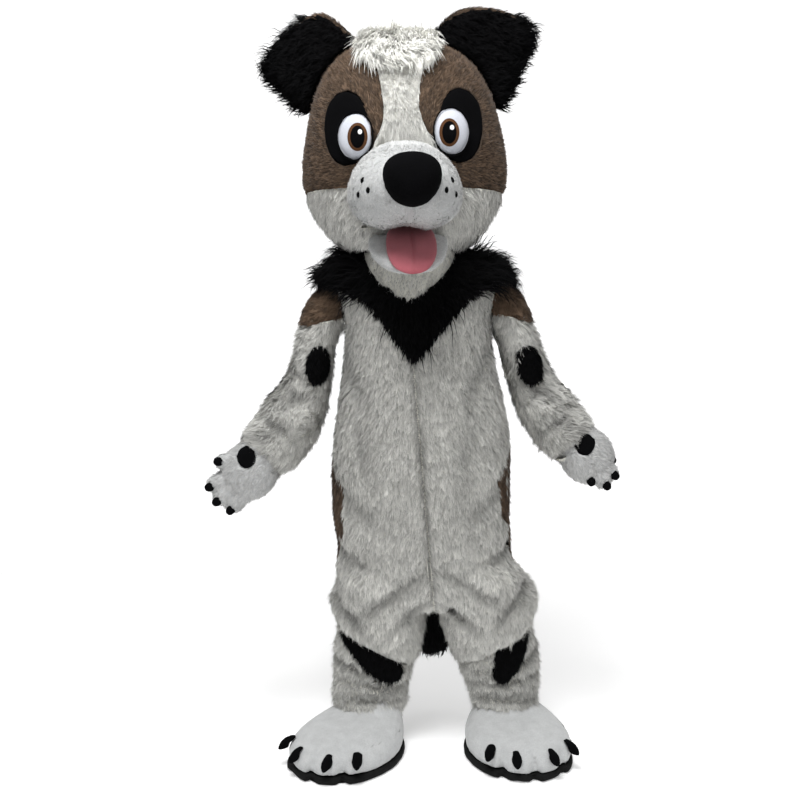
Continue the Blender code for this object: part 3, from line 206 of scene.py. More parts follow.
def cloth_of(node, sink, cell=0.020, folds=(), rounds=4, thickest=THICKEST_PANEL):
    """A thin shell on a panel's own form, and its pile side as arrays for the pile.

    A thickest of 0 keeps the whole closed form, for a stuffed piece.
    """
    mesh = bmesh.new()
    mesh.from_mesh(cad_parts[node].data)
    bmesh.ops.remove_doubles(mesh, verts=mesh.verts, dist=WELD)
    if thickest:
        bmesh.ops.delete(mesh, geom=lining_faces(mesh, thickest), context="FACES")
        bmesh.ops.delete(mesh, geom=[v for v in mesh.verts if not v.link_faces], context="VERTS")
        bmesh.ops.holes_fill(mesh, edges=[edge for edge in mesh.edges if edge.is_boundary], sides=8)
    for _ in range(5):
        mesh.normal_update()
        long_edges = [edge for edge in mesh.edges if edge.calc_length() > cell * 1.4]
        if not long_edges:
            break
        bmesh.ops.subdivide_edges(mesh, edges=long_edges, cuts=1, use_grid_fill=True)
        bmesh.ops.triangulate(mesh, faces=[face for face in mesh.faces if len(face.verts) > 3])
    inner = [vert for vert in mesh.verts if not vert.is_boundary]
    for _ in range(rounds):
        bmesh.ops.smooth_vert(mesh, verts=inner, factor=0.5, use_axis_x=True, use_axis_y=True,
                              use_axis_z=True)
    mesh.normal_update()
    for vert in mesh.verts:
        vert.co -= vert.normal * sink
    press(mesh, folds)
    mesh.normal_update()
    mesh.verts.index_update()
    out = sink + 0.004
    shown = [face for face in mesh.faces if thickest or FEWEST_LOOKS < daylight(
        face.calc_center_median() + face.normal * out, face.normal)]
    pile_side = (
        np.array([vert.co for vert in mesh.verts]),
        np.array([vert.normal for vert in mesh.verts]),
        np.array([[vert.index for vert in face.verts] for face in shown]),
    )
    cloth = put_in_scene(node + "_cloth", mesh_of(mesh, node + "_cloth"))
    cloth.data.shade_smooth()
    if thickest:
        thick = cloth.modifiers.new("wall", "SOLIDIFY")
        thick.thickness = CLOTH_WALL
        thick.offset = -1.0
    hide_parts(node)
    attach(cloth, "root")
    return cloth, pile_side


def dress(piece, finish):
    """The finish that a piece shows."""
    piece.data.materials.append(finish)


def sway(points, size, seed):
    """A slow drift of direction over the cloth, as combed pile has."""
    rng = np.random.default_rng(seed)
    drift = np.zeros_like(points)
    for _ in range(6):
        way = rng.normal(0.0, 1.0 / size, (3, 3))
        drift += np.sin(points @ way + rng.uniform(0.0, 6.28, 3))
    return drift / 3.0


def downwards(points, normals):
    """Combing straight down, with a little drift."""
    return np.tile((0.0, 0.0, -1.0), (len(points), 1)) + 0.22 * sway(points, 0.06, 5)


# the most painted shade that a fold puts on the pile (painted light on a ridge), how much for each
# metre of depth, and the limits
FOLD_SHADE, SHADE_PER_METRE = 0.40, 30.0
DARKEST, LIGHTEST = 0.45, 1.15


def fold_shade(points, folds):
    """Painted shade in the troughs that the folds press, where little light gets down, and painted
    light along their ridges: a factor on the pile's colour.
    """
    dark = np.ones(len(points))
    for _, x0, z0, x1, z1, depth, reach in folds:
        line = np.array((x1 - x0, z1 - z0))
        off = points[:, (0, 2)] - np.array((x0, z0))
        along = np.clip(off @ line / (line @ line), 0.0, 1.0)
        away = np.linalg.norm(off - along[:, None] * line, axis=1) / (reach * 0.8)
        fade = np.sin(math.pi * (FOLD_START + FOLD_SPAN * along))
        most = min(FOLD_SHADE, abs(depth) * SHADE_PER_METRE)
        dark -= np.sign(depth) * most * fade * np.exp(-away ** 2)
    return np.clip(dark, DARKEST, LIGHTEST)


def unit(ways):
    """Directions of length one."""
    return ways / np.maximum(np.linalg.norm(ways, axis=1, keepdims=True), 1e-9)


# how unevenly single blades and whole locks grow, and how far blades roll, in radians
BLADE_UNEVEN, LOCK_UNEVEN, BLADE_ROLL = 0.22, 0.14, 0.45


def pile(name, pile_side, count, length, width, seed, comb=downwards, lift=0.40, lock=0.011, pull=0.42,
         spread=0.15, root=0.50, shade=0.10, bend=0.0, where=None, folds=()):
    """Pile fibres as slim blades rooted in the cloth, combed along it and drawn into locks.

    lift is the blades' angle off the cloth in radians, lock the size of a lock, pull how far its tips
    draw together, spread how much they lean apart, root how light a root is beside its tip, which is
    painted shade down among the fibres, shade how much locks differ in tone, and bend how far a blade
    arches. comb gives the directions, where how thickly the pile grows, and folds where painted shade
    darkens the pile in troughs and painted light lightens it on ridges.
    """
    rng = np.random.default_rng(seed)
    points, normals, corners = pile_side
    a, b, c = (points[corners[:, i]] for i in range(3))
    area = np.linalg.norm(np.cross(b - a, c - a), axis=1)
    if where is not None:
        area = area * where((a + b + c) / 3.0, normals[corners].sum(axis=1) / 3.0)
    which = rng.choice(len(area), count, p=area / area.sum())
    u, v = rng.random((2, count, 1))
    u, v = np.where(u + v > 1.0, 1.0 - u, u), np.where(u + v > 1.0, 1.0 - v, v)
    base = a[which] * (1.0 - u - v) + b[which] * u + c[which] * v
    up = unit(sum(normals[corners[which, i]] * w for i, w in enumerate((1.0 - u - v, u, v))))
    flow = comb(base, up)
    flow = unit(flow - up * (flow * up).sum(axis=1, keepdims=True))
    cells = (base + 0.3 * lock * sway(base, lock, seed)) / lock + rng.normal(0.0, 0.18, (count, 3))
    _, home = np.unique(np.floor(cells).astype(int), axis=0, return_inverse=True)
    home = home.reshape(-1)
    locks = home.max() + 1
    share = np.bincount(home).reshape(-1, 1)
    centre = np.stack([np.bincount(home, base[:, i]) for i in range(3)], axis=1) / share
    lean = rng.normal(0.0, spread, (locks, 3))[home] + rng.normal(0.0, spread * 0.7, (count, 3))
    reach = length * np.clip(1.0 + rng.normal(0.0, BLADE_UNEVEN, (count, 1)), 0.3, 1.6)
    reach *= np.clip(1.0 + rng.normal(0.0, LOCK_UNEVEN, locks), 0.6, 1.4)[home].reshape(-1, 1)
    way = unit(flow * math.cos(lift) + up * math.sin(lift) + lean)
    way = np.where((way * up).sum(axis=1, keepdims=True) < 0.1, unit(way + 0.25 * up), way)
    tip = base + way * reach
    drawn = centre[home] - base
    drawn -= up * (drawn * up).sum(axis=1, keepdims=True)
    tip += drawn * pull
    across = unit(np.cross(way, up))
    roll = rng.normal(0.0, BLADE_ROLL, (count, 1))
    across = across * np.cos(roll) + np.cross(way, across) * np.sin(roll)
    half = across * width * 0.5 * rng.uniform(0.7, 1.25, (count, 1))
    facing = unit(up + 0.22 * rng.normal(0.0, 1.0, (count, 3)) + 0.25 * lean)
    tone_and_painted_shade = 1.0 + shade * rng.normal(0.0, 1.0, locks)[home] + shade * 0.7 * rng.normal(0.0, 1.0, count)
    # painted shade in the troughs of the folds, and painted light along their ridges
    tone_and_painted_shade *= fold_shade(base, folds)
    if bend:
        middle = base + (tip - base) * 0.5 + up * reach * bend
        down = np.array((0.0, 0.0, -1.0))
        tip = tip - up * reach * bend * 0.6 + down * reach * bend * 0.5
        rows = [base - half, base + half, middle - half * 0.8, middle + half * 0.8, tip]
        fade, shape = (0, 0, 0.6, 0.6, 1), ((0, 1, 3), (0, 3, 2), (2, 3, 4))
    else:
        rows, fade, shape = [base - half, base + half, tip], (0, 0, 1), ((0, 1, 2),)
    stack = np.stack(rows, axis=1).reshape(-1, 3)
    corner_ids = (np.arange(count)[:, None, None] * len(rows) + np.array(shape)[None]).reshape(-1)
    mesh = bpy.data.meshes.new(name)
    mesh.vertices.add(len(stack))
    mesh.vertices.foreach_set("co", stack.ravel())
    mesh.loops.add(len(corner_ids))
    mesh.loops.foreach_set("vertex_index", corner_ids.astype(np.int32))
    mesh.polygons.add(len(corner_ids) // 3)
    mesh.polygons.foreach_set("loop_start", np.arange(0, len(corner_ids), 3, dtype=np.int32))
    # each corner's colour: lock tone and fold shading, times painted shade that darkens the blade from
    # tip to root
    grey = tone_and_painted_shade[:, None] * (root + (1.0 - root) * np.array(fade)[None])
    colour = np.ones((len(stack), 4))
    colour[:, :3] = grey.reshape(-1, 1)
    # stored on the blades: their lock tone with painted shade in fold troughs and at the roots
    mesh.attributes.new("tone_and_painted_shade", "FLOAT_COLOR", "POINT").data.foreach_set("color", colour.ravel())
    mesh.update()
    mesh.shade_smooth()
    mesh.normals_split_custom_set_from_vertices(np.repeat(facing, len(rows), axis=0))
    blades = put_in_scene(name, mesh)
    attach(blades, "root")
    return blades


# cloudy patches of lighter and darker nap, and its fine grain, for every cloth here
nap = bpy.data.node_groups.new("nap", "ShaderNodeTree")
for label, usual in (("Patch Scale", 14.0), ("Patch Amount", 0.05), ("Grain Scale", 900.0)):
    nap.interface.new_socket(label, in_out="INPUT", socket_type="NodeSocketFloat").default_value = usual
nap.interface.new_socket("Patch", in_out="OUTPUT", socket_type="NodeSocketFloat")
nap.interface.new_socket("Grain", in_out="OUTPUT", socket_type="NodeSocketFloat")
given, made = nap.nodes.new("NodeGroupInput"), nap.nodes.new("NodeGroupOutput")
spot = nap.nodes.new("ShaderNodeTexCoord")
cloud, grain = nap.nodes.new("ShaderNodeTexNoise"), nap.nodes.new("ShaderNodeTexNoise")
grain.inputs["Detail"].default_value = 3.0
swing, level = nap.nodes.new("ShaderNodeMath"), nap.nodes.new("ShaderNodeMath")
centred = nap.nodes.new("ShaderNodeMath")
centred.operation, swing.operation, level.operation = "SUBTRACT", "MULTIPLY", "MULTIPLY_ADD"
centred.inputs[1].default_value = 0.5
swing.inputs[1].default_value = 4.0
level.inputs[2].default_value = 1.0
for source, target in (
    (spot.outputs["Object"], cloud.inputs["Vector"]),
    (given.outputs["Patch Scale"], cloud.inputs["Scale"]),
    (spot.outputs["Object"], grain.inputs["Vector"]),
    (given.outputs["Grain Scale"], grain.inputs["Scale"]),
    (cloud.outputs["Fac"], centred.inputs[0]), (centred.outputs[0], swing.inputs[0]),
    (swing.outputs[0], level.inputs[0]), (given.outputs["Patch Amount"], level.inputs[1]),
    (level.outputs[0], made.inputs["Patch"]), (grain.outputs["Fac"], made.inputs["Grain"]),
):
    nap.links.new(source, target)


def nap_finish(name, colour, rough, sheen, patch_scale, patch, grain_scale=900.0, bump_depth=0.0,
               tinted=False):
    """A cloth finish: cloudy colour, a grain of nap raised as bump, and for pile the lock tone and
    painted shade that its blades carry.
    """
    finish = bpy.data.materials.new(name)
    finish.use_nodes = True
    nodes, links = finish.node_tree.nodes, finish.node_tree.links
    shader = nodes["Principled BSDF"]
    shader.inputs["Roughness"].default_value = rough
    shader.inputs["Specular IOR Level"].default_value = 0.05
    shader.inputs["Sheen Weight"].default_value = sheen
    lay = nodes.new("ShaderNodeGroup")
    lay.node_tree = nap
    lay.inputs["Patch Scale"].default_value = patch_scale
    lay.inputs["Patch Amount"].default_value = patch
    lay.inputs["Grain Scale"].default_value = grain_scale
    shaded = nodes.new("ShaderNodeVectorMath")
    shaded.operation = "SCALE"
    shaded.inputs[0].default_value = colour
    links.new(lay.outputs["Patch"], shaded.inputs["Scale"])
    toned = shaded
    if tinted:
        # the blades' lock tone, times painted shade in fold troughs and at the roots
        tone_and_painted_shade = nodes.new("ShaderNodeAttribute")
        tone_and_painted_shade.attribute_name = "tone_and_painted_shade"
        toned = nodes.new("ShaderNodeVectorMath")
        toned.operation = "MULTIPLY"
        links.new(shaded.outputs["Vector"], toned.inputs[0])
        links.new(tone_and_painted_shade.outputs["Color"], toned.inputs[1])
    if bump_depth:
        pitted = nodes.new("ShaderNodeMapRange")
        pitted.inputs["From Min"].default_value = 0.3
        pitted.inputs["From Max"].default_value = 0.7
        pitted.inputs["To Min"].default_value = 0.8
        pitted.inputs["To Max"].default_value = 1.08
        links.new(lay.outputs["Grain"], pitted.inputs["Value"])
        grained = nodes.new("ShaderNodeVectorMath")
        grained.operation = "SCALE"
        links.new(toned.outputs["Vector"], grained.inputs[0])
        links.new(pitted.outputs["Result"], grained.inputs["Scale"])
        toned = grained
        bump = nodes.new("ShaderNodeBump")
        bump.inputs["Strength"].default_value = 0.7
        bump.inputs["Distance"].default_value = bump_depth
        links.new(lay.outputs["Grain"], bump.inputs["Height"])
        links.new(bump.outputs["Normal"], shader.inputs["Normal"])
    links.new(toned.outputs["Vector"], shader.inputs["Base Color"])
    return finish


white_fibre = nap_finish("white_plush_fibre", (0.90, 0.895, 0.85), rough=0.85, sheen=0.25,
                         patch_scale=9.0, patch=0.07, tinted=True)
taupe_fibre = nap_finish("taupe_plush_fibre", (0.160, 0.108, 0.073), rough=0.85, sheen=0.08,
                         patch_scale=34.0, patch=0.16, tinted=True)
taupe_backing = nap_finish("taupe_plush_backing", (0.070, 0.052, 0.040), rough=0.95, sheen=0.0,
                           patch_scale=20.0, patch=0.1, grain_scale=700.0, bump_depth=0.001)
white_backing = nap_finish("white_plush_backing", (0.78, 0.77, 0.70), rough=0.95, sheen=0.0,
                           patch_scale=7.0, patch=0.06, grain_scale=700.0, bump_depth=0.001)

# side (-1 in front, 1 behind), x and z of each end, depth (a ridge's is below 0), reach
FRONT_FOLDS = {
    "front_left": (
        (-1, -0.010, -0.22, 0.045, -0.86, 0.011, 0.009),
        (-1, -0.190, -0.22, -0.110, -0.36, 0.009, 0.024),
        (-1, -0.150, -0.34, -0.100, -0.60, 0.008, 0.028),
        (-1, -0.200, -0.56, -0.090, -0.66, 0.010, 0.026),
        (-1, 0.030, -0.76, -0.150, -0.90, 0.020, 0.024),
        (-1, 0.035, -0.84, -0.060, -0.93, 0.014, 0.018),
        (-1, -0.225, -0.84, -0.130, -0.94, 0.016, 0.020),
        (-1, -0.210, -0.72, -0.120, -0.76, 0.012, 0.020),
        (-1, -0.170, -0.80, -0.050, -0.81, -0.010, 0.030),
    ),
    "front_right": (
        (-1, -0.010, -0.22, 0.045, -0.86, 0.011, 0.009),
        (-1, 0.190, -0.20, 0.120, -0.34, 0.009, 0.024),
        (-1, 0.140, -0.36, 0.110, -0.58, 0.008, 0.028),
        (-1, 0.240, -0.54, 0.120, -0.64, 0.010, 0.026),
        (-1, 0.060, -0.76, 0.220, -0.86, 0.020, 0.024),
        (-1, 0.070, -0.86, 0.170, -0.94, 0.014, 0.018),
        (-1, 0.300, -0.80, 0.200, -0.93, 0.016, 0.020),
        (-1, 0.280, -0.70, 0.180, -0.75, 0.012, 0.020),
        (-1, 0.120, -0.80, 0.240, -0.79, -0.010, 0.030),
    ),
}
# the centre seam's x and z at its top, its drift to one side on the way down, and its end
SEAM_X, SEAM_Z, SEAM_SLOPE, SEAM_END = -0.008, -0.242, 0.0865, -0.90
# how wide and how strongly it parts the pile
SEAM_PARTING, SEAM_PUSH = 0.010, 1.4
# the taupe's middle height on the left and right flank, half its height, and how far round it
# comes, as the y of the cloth's normal, in front and behind
FLANK_LEFT, FLANK_RIGHT, FLANK_HALF = -0.61, -0.58, 0.115
FLANK_FRONT, FLANK_BACK = -0.64, 0.6


def from_the_seam(points, normals):
    """Combing down, and aside where the pile is parted by the centre seam."""
    off = points[:, 0] - (SEAM_X + (SEAM_Z - points[:, 2]) * SEAM_SLOPE)
    in_front = (normals[:, 1] < -0.2) * (points[:, 2] > SEAM_END)
    push = np.sign(off) * np.exp(-np.abs(off) / SEAM_PARTING) * in_front
    ways = downwards(points, normals)
    ways[:, 0] += SEAM_PUSH * push
    return ways


def on_the_flank(middles, ups):
    """Where the taupe of the saddles comes round over the edge of a front panel."""
    level = np.where(middles[:, 0] < 0.0, FLANK_LEFT, FLANK_RIGHT)
    off = np.abs(middles[:, 2] - level) / FLANK_HALF
    round_the_side = (ups[:, 1] > FLANK_FRONT + 0.5 * off ** 2) * (ups[:, 1] < FLANK_BACK)
    return (off < 1.0) * round_the_side * (np.abs(ups[:, 2]) < 0.8) + 1e-7


def clear_of_the_flank(middles, ups):
    """The rest of the front panel, where its own white pile shows."""
    return np.clip(1.0 - on_the_flank(middles, ups), 0.0, 1.0)


for node in ("front_left", "front_right"):
    cloth, side = cloth_of(node, sink=FRONT_SINK, cell=0.014, folds=FRONT_FOLDS[node])
    dress(cloth, white_backing)
    fur = pile(node + "_pile", side, count=84000, length=FRONT_PILE, width=0.0019, seed=11,
               comb=from_the_seam, folds=FRONT_FOLDS[node], where=clear_of_the_flank)
    dress(fur, white_fibre)
    overlap = pile(node.replace("front", "flank") + "_pile", side, count=6000, length=0.013,
                   width=0.0023, seed=12, shade=TAUPE_SHADE, where=on_the_flank)
    dress(overlap, taupe_fibre)


# The back: two taupe saddles from shoulder to seat, wrapping a little way round the flanks,
# with the white seat and leg backs sewn below them.
SADDLE_PILE = 0.012
SEAT_PILE = 0.018
BACK_FOLDS = (
    (1, -0.180, -0.34, -0.050, -0.42, 0.008, 0.022),
    (1, 0.190, -0.40, 0.060, -0.46, 0.008, 0.022),
    (1, -0.160, -0.58, 0.020, -0.66, 0.010, 0.024),
    (1, 0.170, -0.66, 0.050, -0.72, 0.010, 0.020),
    (1, -0.180, -0.84, -0.050, -0.88, 0.011, 0.020),
    (1, 0.090, -0.82, 0.260, -0.88, 0.011, 0.020),
    (1, -0.060, -0.94, -0.180, -0.96, 0.008, 0.016),
    (1, 0.130, -0.93, 0.250, -0.95, 0.008, 0.016),
)
for node in ("saddle_left", "saddle_right"):
    cloth, side = cloth_of(node, sink=0.005, folds=BACK_FOLDS)
    dress(cloth, taupe_backing)
    fur = pile(node + "_pile", side, count=26000, length=SADDLE_PILE, width=0.0021, seed=21,
               shade=TAUPE_SHADE, folds=BACK_FOLDS)
    dress(fur, taupe_fibre)
for node in ("seat_left", "seat_right"):
    cloth, side = cloth_of(node, sink=FRONT_SINK, folds=BACK_FOLDS)
    dress(cloth, white_backing)
    fur = pile(node + "_pile", side, count=18000, length=SEAT_PILE, width=0.0022, seed=22,
               folds=BACK_FOLDS)
    dress(fur, white_fibre)


# The sleeves: white plush tubes with bunched crosswise folds, under a taupe cap over each
# shoulder. The pile is combed to the hand and swirls where the arm bends.
SLEEVE_PILE = 0.018
ELBOW = -0.24
SLEEVE_FOLDS = (
    (-1, -0.330, -0.27, -0.250, -0.30, 0.012, 0.018),
    (-1, -0.360, -0.37, -0.270, -0.33, 0.014, 0.018),
    (-1, -0.300, -0.45, -0.380, -0.38, 0.012, 0.016),
    (-1, -0.430, -0.46, -0.340, -0.52, 0.012, 0.016),
    (-1, 0.340, -0.27, 0.260, -0.30, 0.012, 0.018),
    (-1, 0.370, -0.36, 0.280, -0.31, 0.014, 0.018),
    (-1, 0.310, -0.43, 0.390, -0.37, 0.012, 0.016),
    (-1, 0.440, -0.42, 0.350, -0.50, 0.012, 0.016),
    (1, -0.340, -0.30, -0.260, -0.34, 0.012, 0.018),
    (1, -0.400, -0.44, -0.320, -0.40, 0.014, 0.018),
    (1, 0.350, -0.30, 0.270, -0.34, 0.012, 0.018),
    (1, 0.410, -0.42, 0.330, -0.38, 0.014, 0.018),
)
CAP_FOLDS = (
    (-1, -0.290, -0.04, -0.215, -0.12, 0.006, 0.014),
    (-1, -0.280, -0.09, -0.215, -0.14, 0.005, 0.012),
    (-1, 0.290, -0.04, 0.225, -0.10, 0.006, 0.014),
    (-1, 0.290, -0.09, 0.230, -0.13, 0.005, 0.012),
    (1, -0.290, -0.06, -0.215, -0.12, 0.005, 0.014),
    (1, 0.290, -0.06, 0.225, -0.12, 0.005, 0.014),
)


def ways_of(x, y, z):
    """Directions from their columns, of which a plain number is the same for all."""
    return np.concatenate(np.broadcast_arrays(x, y, z), axis=1)


def to_the_hand(points, normals):
    """Combing down the upper arm, and out to the hand from the elbow on."""
    bent = np.clip((ELBOW - points[:, 2:3]) / 0.10, 0.0, 1.0)
    ways = ways_of(np.sign(points[:, :1]) * (0.12 + 0.75 * bent), 0.0, -1.0 + 0.1 * bent)
    return unit(ways) + 0.55 * sway(points, 0.045, 9)


for node in ("sleeve_left", "sleeve_right"):
    cloth, side = cloth_of(node, sink=FRONT_SINK, folds=SLEEVE_FOLDS)
    dress(cloth, white_backing)
    fur = pile(node + "_pile", side, count=35000, length=SLEEVE_PILE, width=0.0022, seed=31,
               comb=to_the_hand, spread=0.20, lock=0.017, folds=SLEEVE_FOLDS)
    dress(fur, white_fibre)
for node in ("cap_left", "cap_right"):
    cloth, side = cloth_of(node, sink=0.004, folds=CAP_FOLDS)
    dress(cloth, taupe_backing)
    fur = pile(node + "_pile", side, count=10000, length=0.010, width=0.0020, seed=32, comb=to_the_hand,
               shade=TAUPE_SHADE)
    dress(fur, taupe_fibre)


# The black yoke over the shoulders, front and back, with a long ragged pile that sticks out
# past both shoulder ends, and the black tail of the same plush behind the legs.
BLACK_PILE = 0.022
# the yoke's middle, and how far from it the tufts begin and over what width they fill in
YOKE_X = -0.004
TUFTS_FROM, TUFTS_FADE = 0.125, 0.06
black_fibre = nap_finish("black_plush_fibre", (0.0045, 0.0045, 0.005), rough=0.8, sheen=0.0,
                         patch_scale=20.0, patch=0.1, tinted=True)
black_backing = nap_finish("black_plush_backing", (0.002, 0.002, 0.002), rough=0.95, sheen=0.0,
                           patch_scale=20.0, patch=0.1, grain_scale=700.0, bump_depth=0.001)


def off_the_shoulder(points, normals):
    """Combing down, and outwards more and more towards the tops of the shoulders."""
    aside = np.clip(np.abs(points[:, :1]) / 0.12, 0.0, 1.8)
    high = np.clip((points[:, 2:3] + 0.10) / 0.10, 0.0, 1.0)
    out = np.sign(points[:, :1]) * aside * high
    return ways_of(out, 0.0, -0.8) + 0.25 * sway(points, 0.05, 4)


def past_the_shoulder(points, normals):
    """The tufts' way, which hardly falls."""
    ways = off_the_shoulder(points, normals)
    ways[:, 2] = 0.35 * ways[:, 2] + 0.1
    return ways


def shoulder_ends(middles, ups):
    """Where the tufts grow: well out to both sides, and hardly anywhere else."""
    aside = np.abs(middles[:, 0] - YOKE_X)
    return np.clip((aside - TUFTS_FROM) / TUFTS_FADE, 0.0, 1.0) + 0.01


for node in ("yoke_front", "yoke_back"):
    cloth, side = cloth_of(node, sink=0.006)
    dress(cloth, black_backing)
    fur = pile(node + "_pile", side, count=9000, length=BLACK_PILE, width=0.0030, seed=41,
               comb=off_the_shoulder, root=0.4, bend=0.10)
    dress(fur, black_fibre)
    tufts = pile(node + "_tufts", side, count=3200, length=0.066, width=0.0026, seed=42,
                 comb=past_the_shoulder, lift=0.5, root=0.4, bend=0.15, lock=0.02, pull=0.6, spread=0.2,
                 where=shoulder_ends)
    dress(tufts, black_fibre)
cloth, side = cloth_of("tail", sink=0.006, thickest=0.0)
dress(cloth, black_backing)
fur = pile("tail_pile", side, count=4000, length=BLACK_PILE, width=0.0030, seed=43, root=0.4, bend=0.10)
dress(fur, black_fibre)


# The shins: short gaiters of the white plush, gathered in crosswise folds, from the bagged
# knees down over the foot paws.
SHIN_FOLDS = (
    (-1, -0.230, -1.02, -0.120, -1.055, 0.013, 0.014),
    (-1, -0.200, -1.075, -0.020, -1.095, 0.016, 0.014),
    (-1, -0.190, -1.125, -0.050, -1.130, 0.014, 0.013),
    (-1, 0.330, -1.00, 0.250, -1.04, 0.013, 0.014),
    (-1, 0.140, -1.085, 0.330, -1.065, 0.016, 0.014),
    (-1, 0.160, -1.120, 0.310, -1.130, 0.014, 0.013),
    (1, -0.200, -1.03, -0.040, -1.06, 0.013, 0.014),
    (1, -0.180, -1.10, -0.060, -1.11, 0.014, 0.014),
    (1, 0.140, -1.05, 0.300, -1.03, 0.013, 0.014),
    (1, 0.170, -1.11, 0.300, -1.10, 0.014, 0.014),
)
for node in ("shin_left", "shin_right"):
    cloth, side = cloth_of(node, sink=0.006, cell=0.012, folds=SHIN_FOLDS)
    dress(cloth, white_backing)
    fur = pile(node + "_pile", side, count=20000, length=0.015, width=0.0021, seed=51, spread=0.24,
               folds=SHIN_FOLDS)
    dress(fur, white_fibre)


# Flat black spots let into the sleeves and shins: ovals of a short dense plush, whose pile
# hides the seam round them.
# width and length as cut
SPOT_CUTS = {
    "sleeve_spot_left_1": (0.085, 0.108), "sleeve_spot_left_2": (0.080, 0.090),
    "sleeve_spot_right_1": (0.082, 0.110), "sleeve_spot_right_2": (0.080, 0.090),
    "shin_spot_left": (0.200, 0.085), "shin_spot_right": (0.080, 0.140),
}
for node, cut in SPOT_CUTS.items():
    cloth, side = cloth_of(node, sink=0.002, cell=0.010)
    dress(cloth, black_backing)
    fur = pile(node + "_pile", side, count=3000, length=0.013, width=0.0020, seed=52, lock=0.008)
    dress(fur, black_fibre)


# The head: taupe plush over the crown, sides and back in two halves, long white plush on
# the cheeks and jowls below a seam at the level of the mouth, and a short white bib below.
FACE_X = -0.028
MUZZLE_MIDDLE = np.array((FACE_X, -0.20, 0.20))


def away_from_the_nose(points, normals):
    """Combing back from the nose on all sides, and a little down."""
    return unit(points - MUZZLE_MIDDLE) + np.array((0.0, 0.35, -0.15)) + 0.25 * sway(points, 0.04, 6)


def cheek_fall(points, normals):
    """Combing down and outwards, as jowls hang."""
    out = np.sign(points[:, :1] - FACE_X) * 0.35
    return ways_of(out, 0.1, -1.0) + 0.3 * sway(points, 0.04, 7)


for node in ("head_left", "head_right"):
    cloth, side = cloth_of(node, sink=0.003)
    dress(cloth, taupe_backing)
    fur = pile(node + "_pile", side, count=30000, length=0.009, width=0.0022, seed=61,
               comb=away_from_the_nose, lift=0.5, shade=0.24, lock=0.009)
    dress(fur, taupe_fibre)
cloth, side = cloth_of("cheeks", sink=0.005)
dress(cloth, white_backing)
fur = pile("cheeks_pile", side, count=38000, length=0.018, width=0.0022, seed=62, comb=cheek_fall)
dress(fur, white_fibre)
cloth, side = cloth_of("neck_bib", sink=0.003)
dress(cloth, white_backing)
fur = pile("neck_bib_pile", side, count=9000, length=0.011, width=0.0018, seed=63)
dress(fur, white_fibre)


# The white blaze between the eyes, which hangs over the top of the muzzle as a soft hem and
# ends at the crown in a fluffy forelock.
BLAZE_X = -0.045
# where the forelock begins and how wide it is to each side, and where the hem ends
FORELOCK_FROM, FORELOCK_FADE, FORELOCK_HALF = 0.462, 0.03, 0.085
HEM_TOP = 0.335


def forelock_fall(points, normals):
    """Combing forward over the brow, and apart to both sides."""
    out = (points[:, :1] - BLAZE_X) * 5.0
    return ways_of(out, -0.9, -0.45) + 0.5 * sway(points, 0.03, 8)


def crown_of_head(middles, ups):
    """Where the forelock grows: on the blaze's upper end."""
    narrow = np.abs(middles[:, 0] - BLAZE_X) < FORELOCK_HALF
    high = np.clip((middles[:, 2] - FORELOCK_FROM) / FORELOCK_FADE, 0.0, 1.0)
    return high * narrow * (middles[:, 1] < 0.06) + 1e-5


def above_the_muzzle(middles, ups):
    """Where the hem grows: on the blaze's lower end."""
    return (middles[:, 2] < HEM_TOP) * (ups[:, 1] < 0.2) + 1e-5


cloth, side = cloth_of("blaze", sink=0.002, cell=0.012, rounds=2)
dress(cloth, white_backing)
fur = pile("blaze_pile", side, count=16000, length=0.011, width=0.0018, seed=64, root=0.82, shade=0.09)
dress(fur, white_fibre)
hem = pile("blaze_hem", side, count=2600, length=0.030, width=0.0018, seed=69, lift=0.16,
           where=above_the_muzzle)
dress(hem, white_fibre)
forelock = pile("forelock", side, count=12000, length=0.045, width=0.0023, seed=65,
                comb=forelock_fall, lift=0.5, lock=0.018, pull=0.4, spread=0.17, bend=0.14, root=0.93,
                shade=0.04, where=crown_of_head)
dress(forelock, white_fibre)


# The ears: folded flaps of long black plush with ragged outer edges, backed with the taupe
# plush, which shows as a rim along the top.
EARS_X = -0.035
# the y and z of its normal from which on the ear is taupe
EAR_BACK, EAR_RIM = 0.3, 0.55


def ear_fall(points, normals):
    """Combing outwards to the tips, and a little forward and down."""
    out = np.sign(points[:, :1] - EARS_X)
    return ways_of(out, -0.1, -0.25) + 0.4 * sway(points, 0.04, 3)


def ear_front(middles, ups):
    """The ear's black face, which looks forward and not up."""
    return (ups[:, 1] < EAR_BACK) * (ups[:, 2] < EAR_RIM) * 1.0


def ear_back(middles, ups):
    """The taupe back and top rim."""
    return 1.0 - ear_front(middles, ups)


def ear_edge(middles, ups):
    """The outer edge, where the tufts grow."""
    outward = np.sign(middles[:, 0] - EARS_X)
    return (ups[:, 0] * outward > 0.45) * 1.0 + 1e-4


for node in ("ear_left", "ear_right"):
    cloth, side = cloth_of(node, sink=0.004, cell=0.012, thickest=0.0)
    cloth.data.materials.append(black_backing)
    cloth.data.materials.append(taupe_backing)
    for face in cloth.data.polygons:
        face.material_index = int(face.normal.y >= EAR_BACK or face.normal.z >= EAR_RIM)
    fur = pile(node + "_pile", side, count=6500, length=0.018, width=0.0028, seed=66, comb=ear_fall,
               root=0.4, bend=0.12, spread=0.22, where=ear_front)
    tufts = pile(node + "_tufts", side, count=2000, length=0.040, width=0.0026, seed=67, comb=ear_fall,
                 root=0.4, bend=0.12, lock=0.016, pull=0.6, spread=0.3, where=ear_edge)
    for hair in (fur, tufts):
        dress(hair, black_fibre)
    fur = pile(node + "_back_pile", side, count=6000, length=0.011, width=0.0020, seed=68,
               comb=ear_fall, shade=TAUPE_SHADE, where=ear_back)
    dress(fur, taupe_fibre)


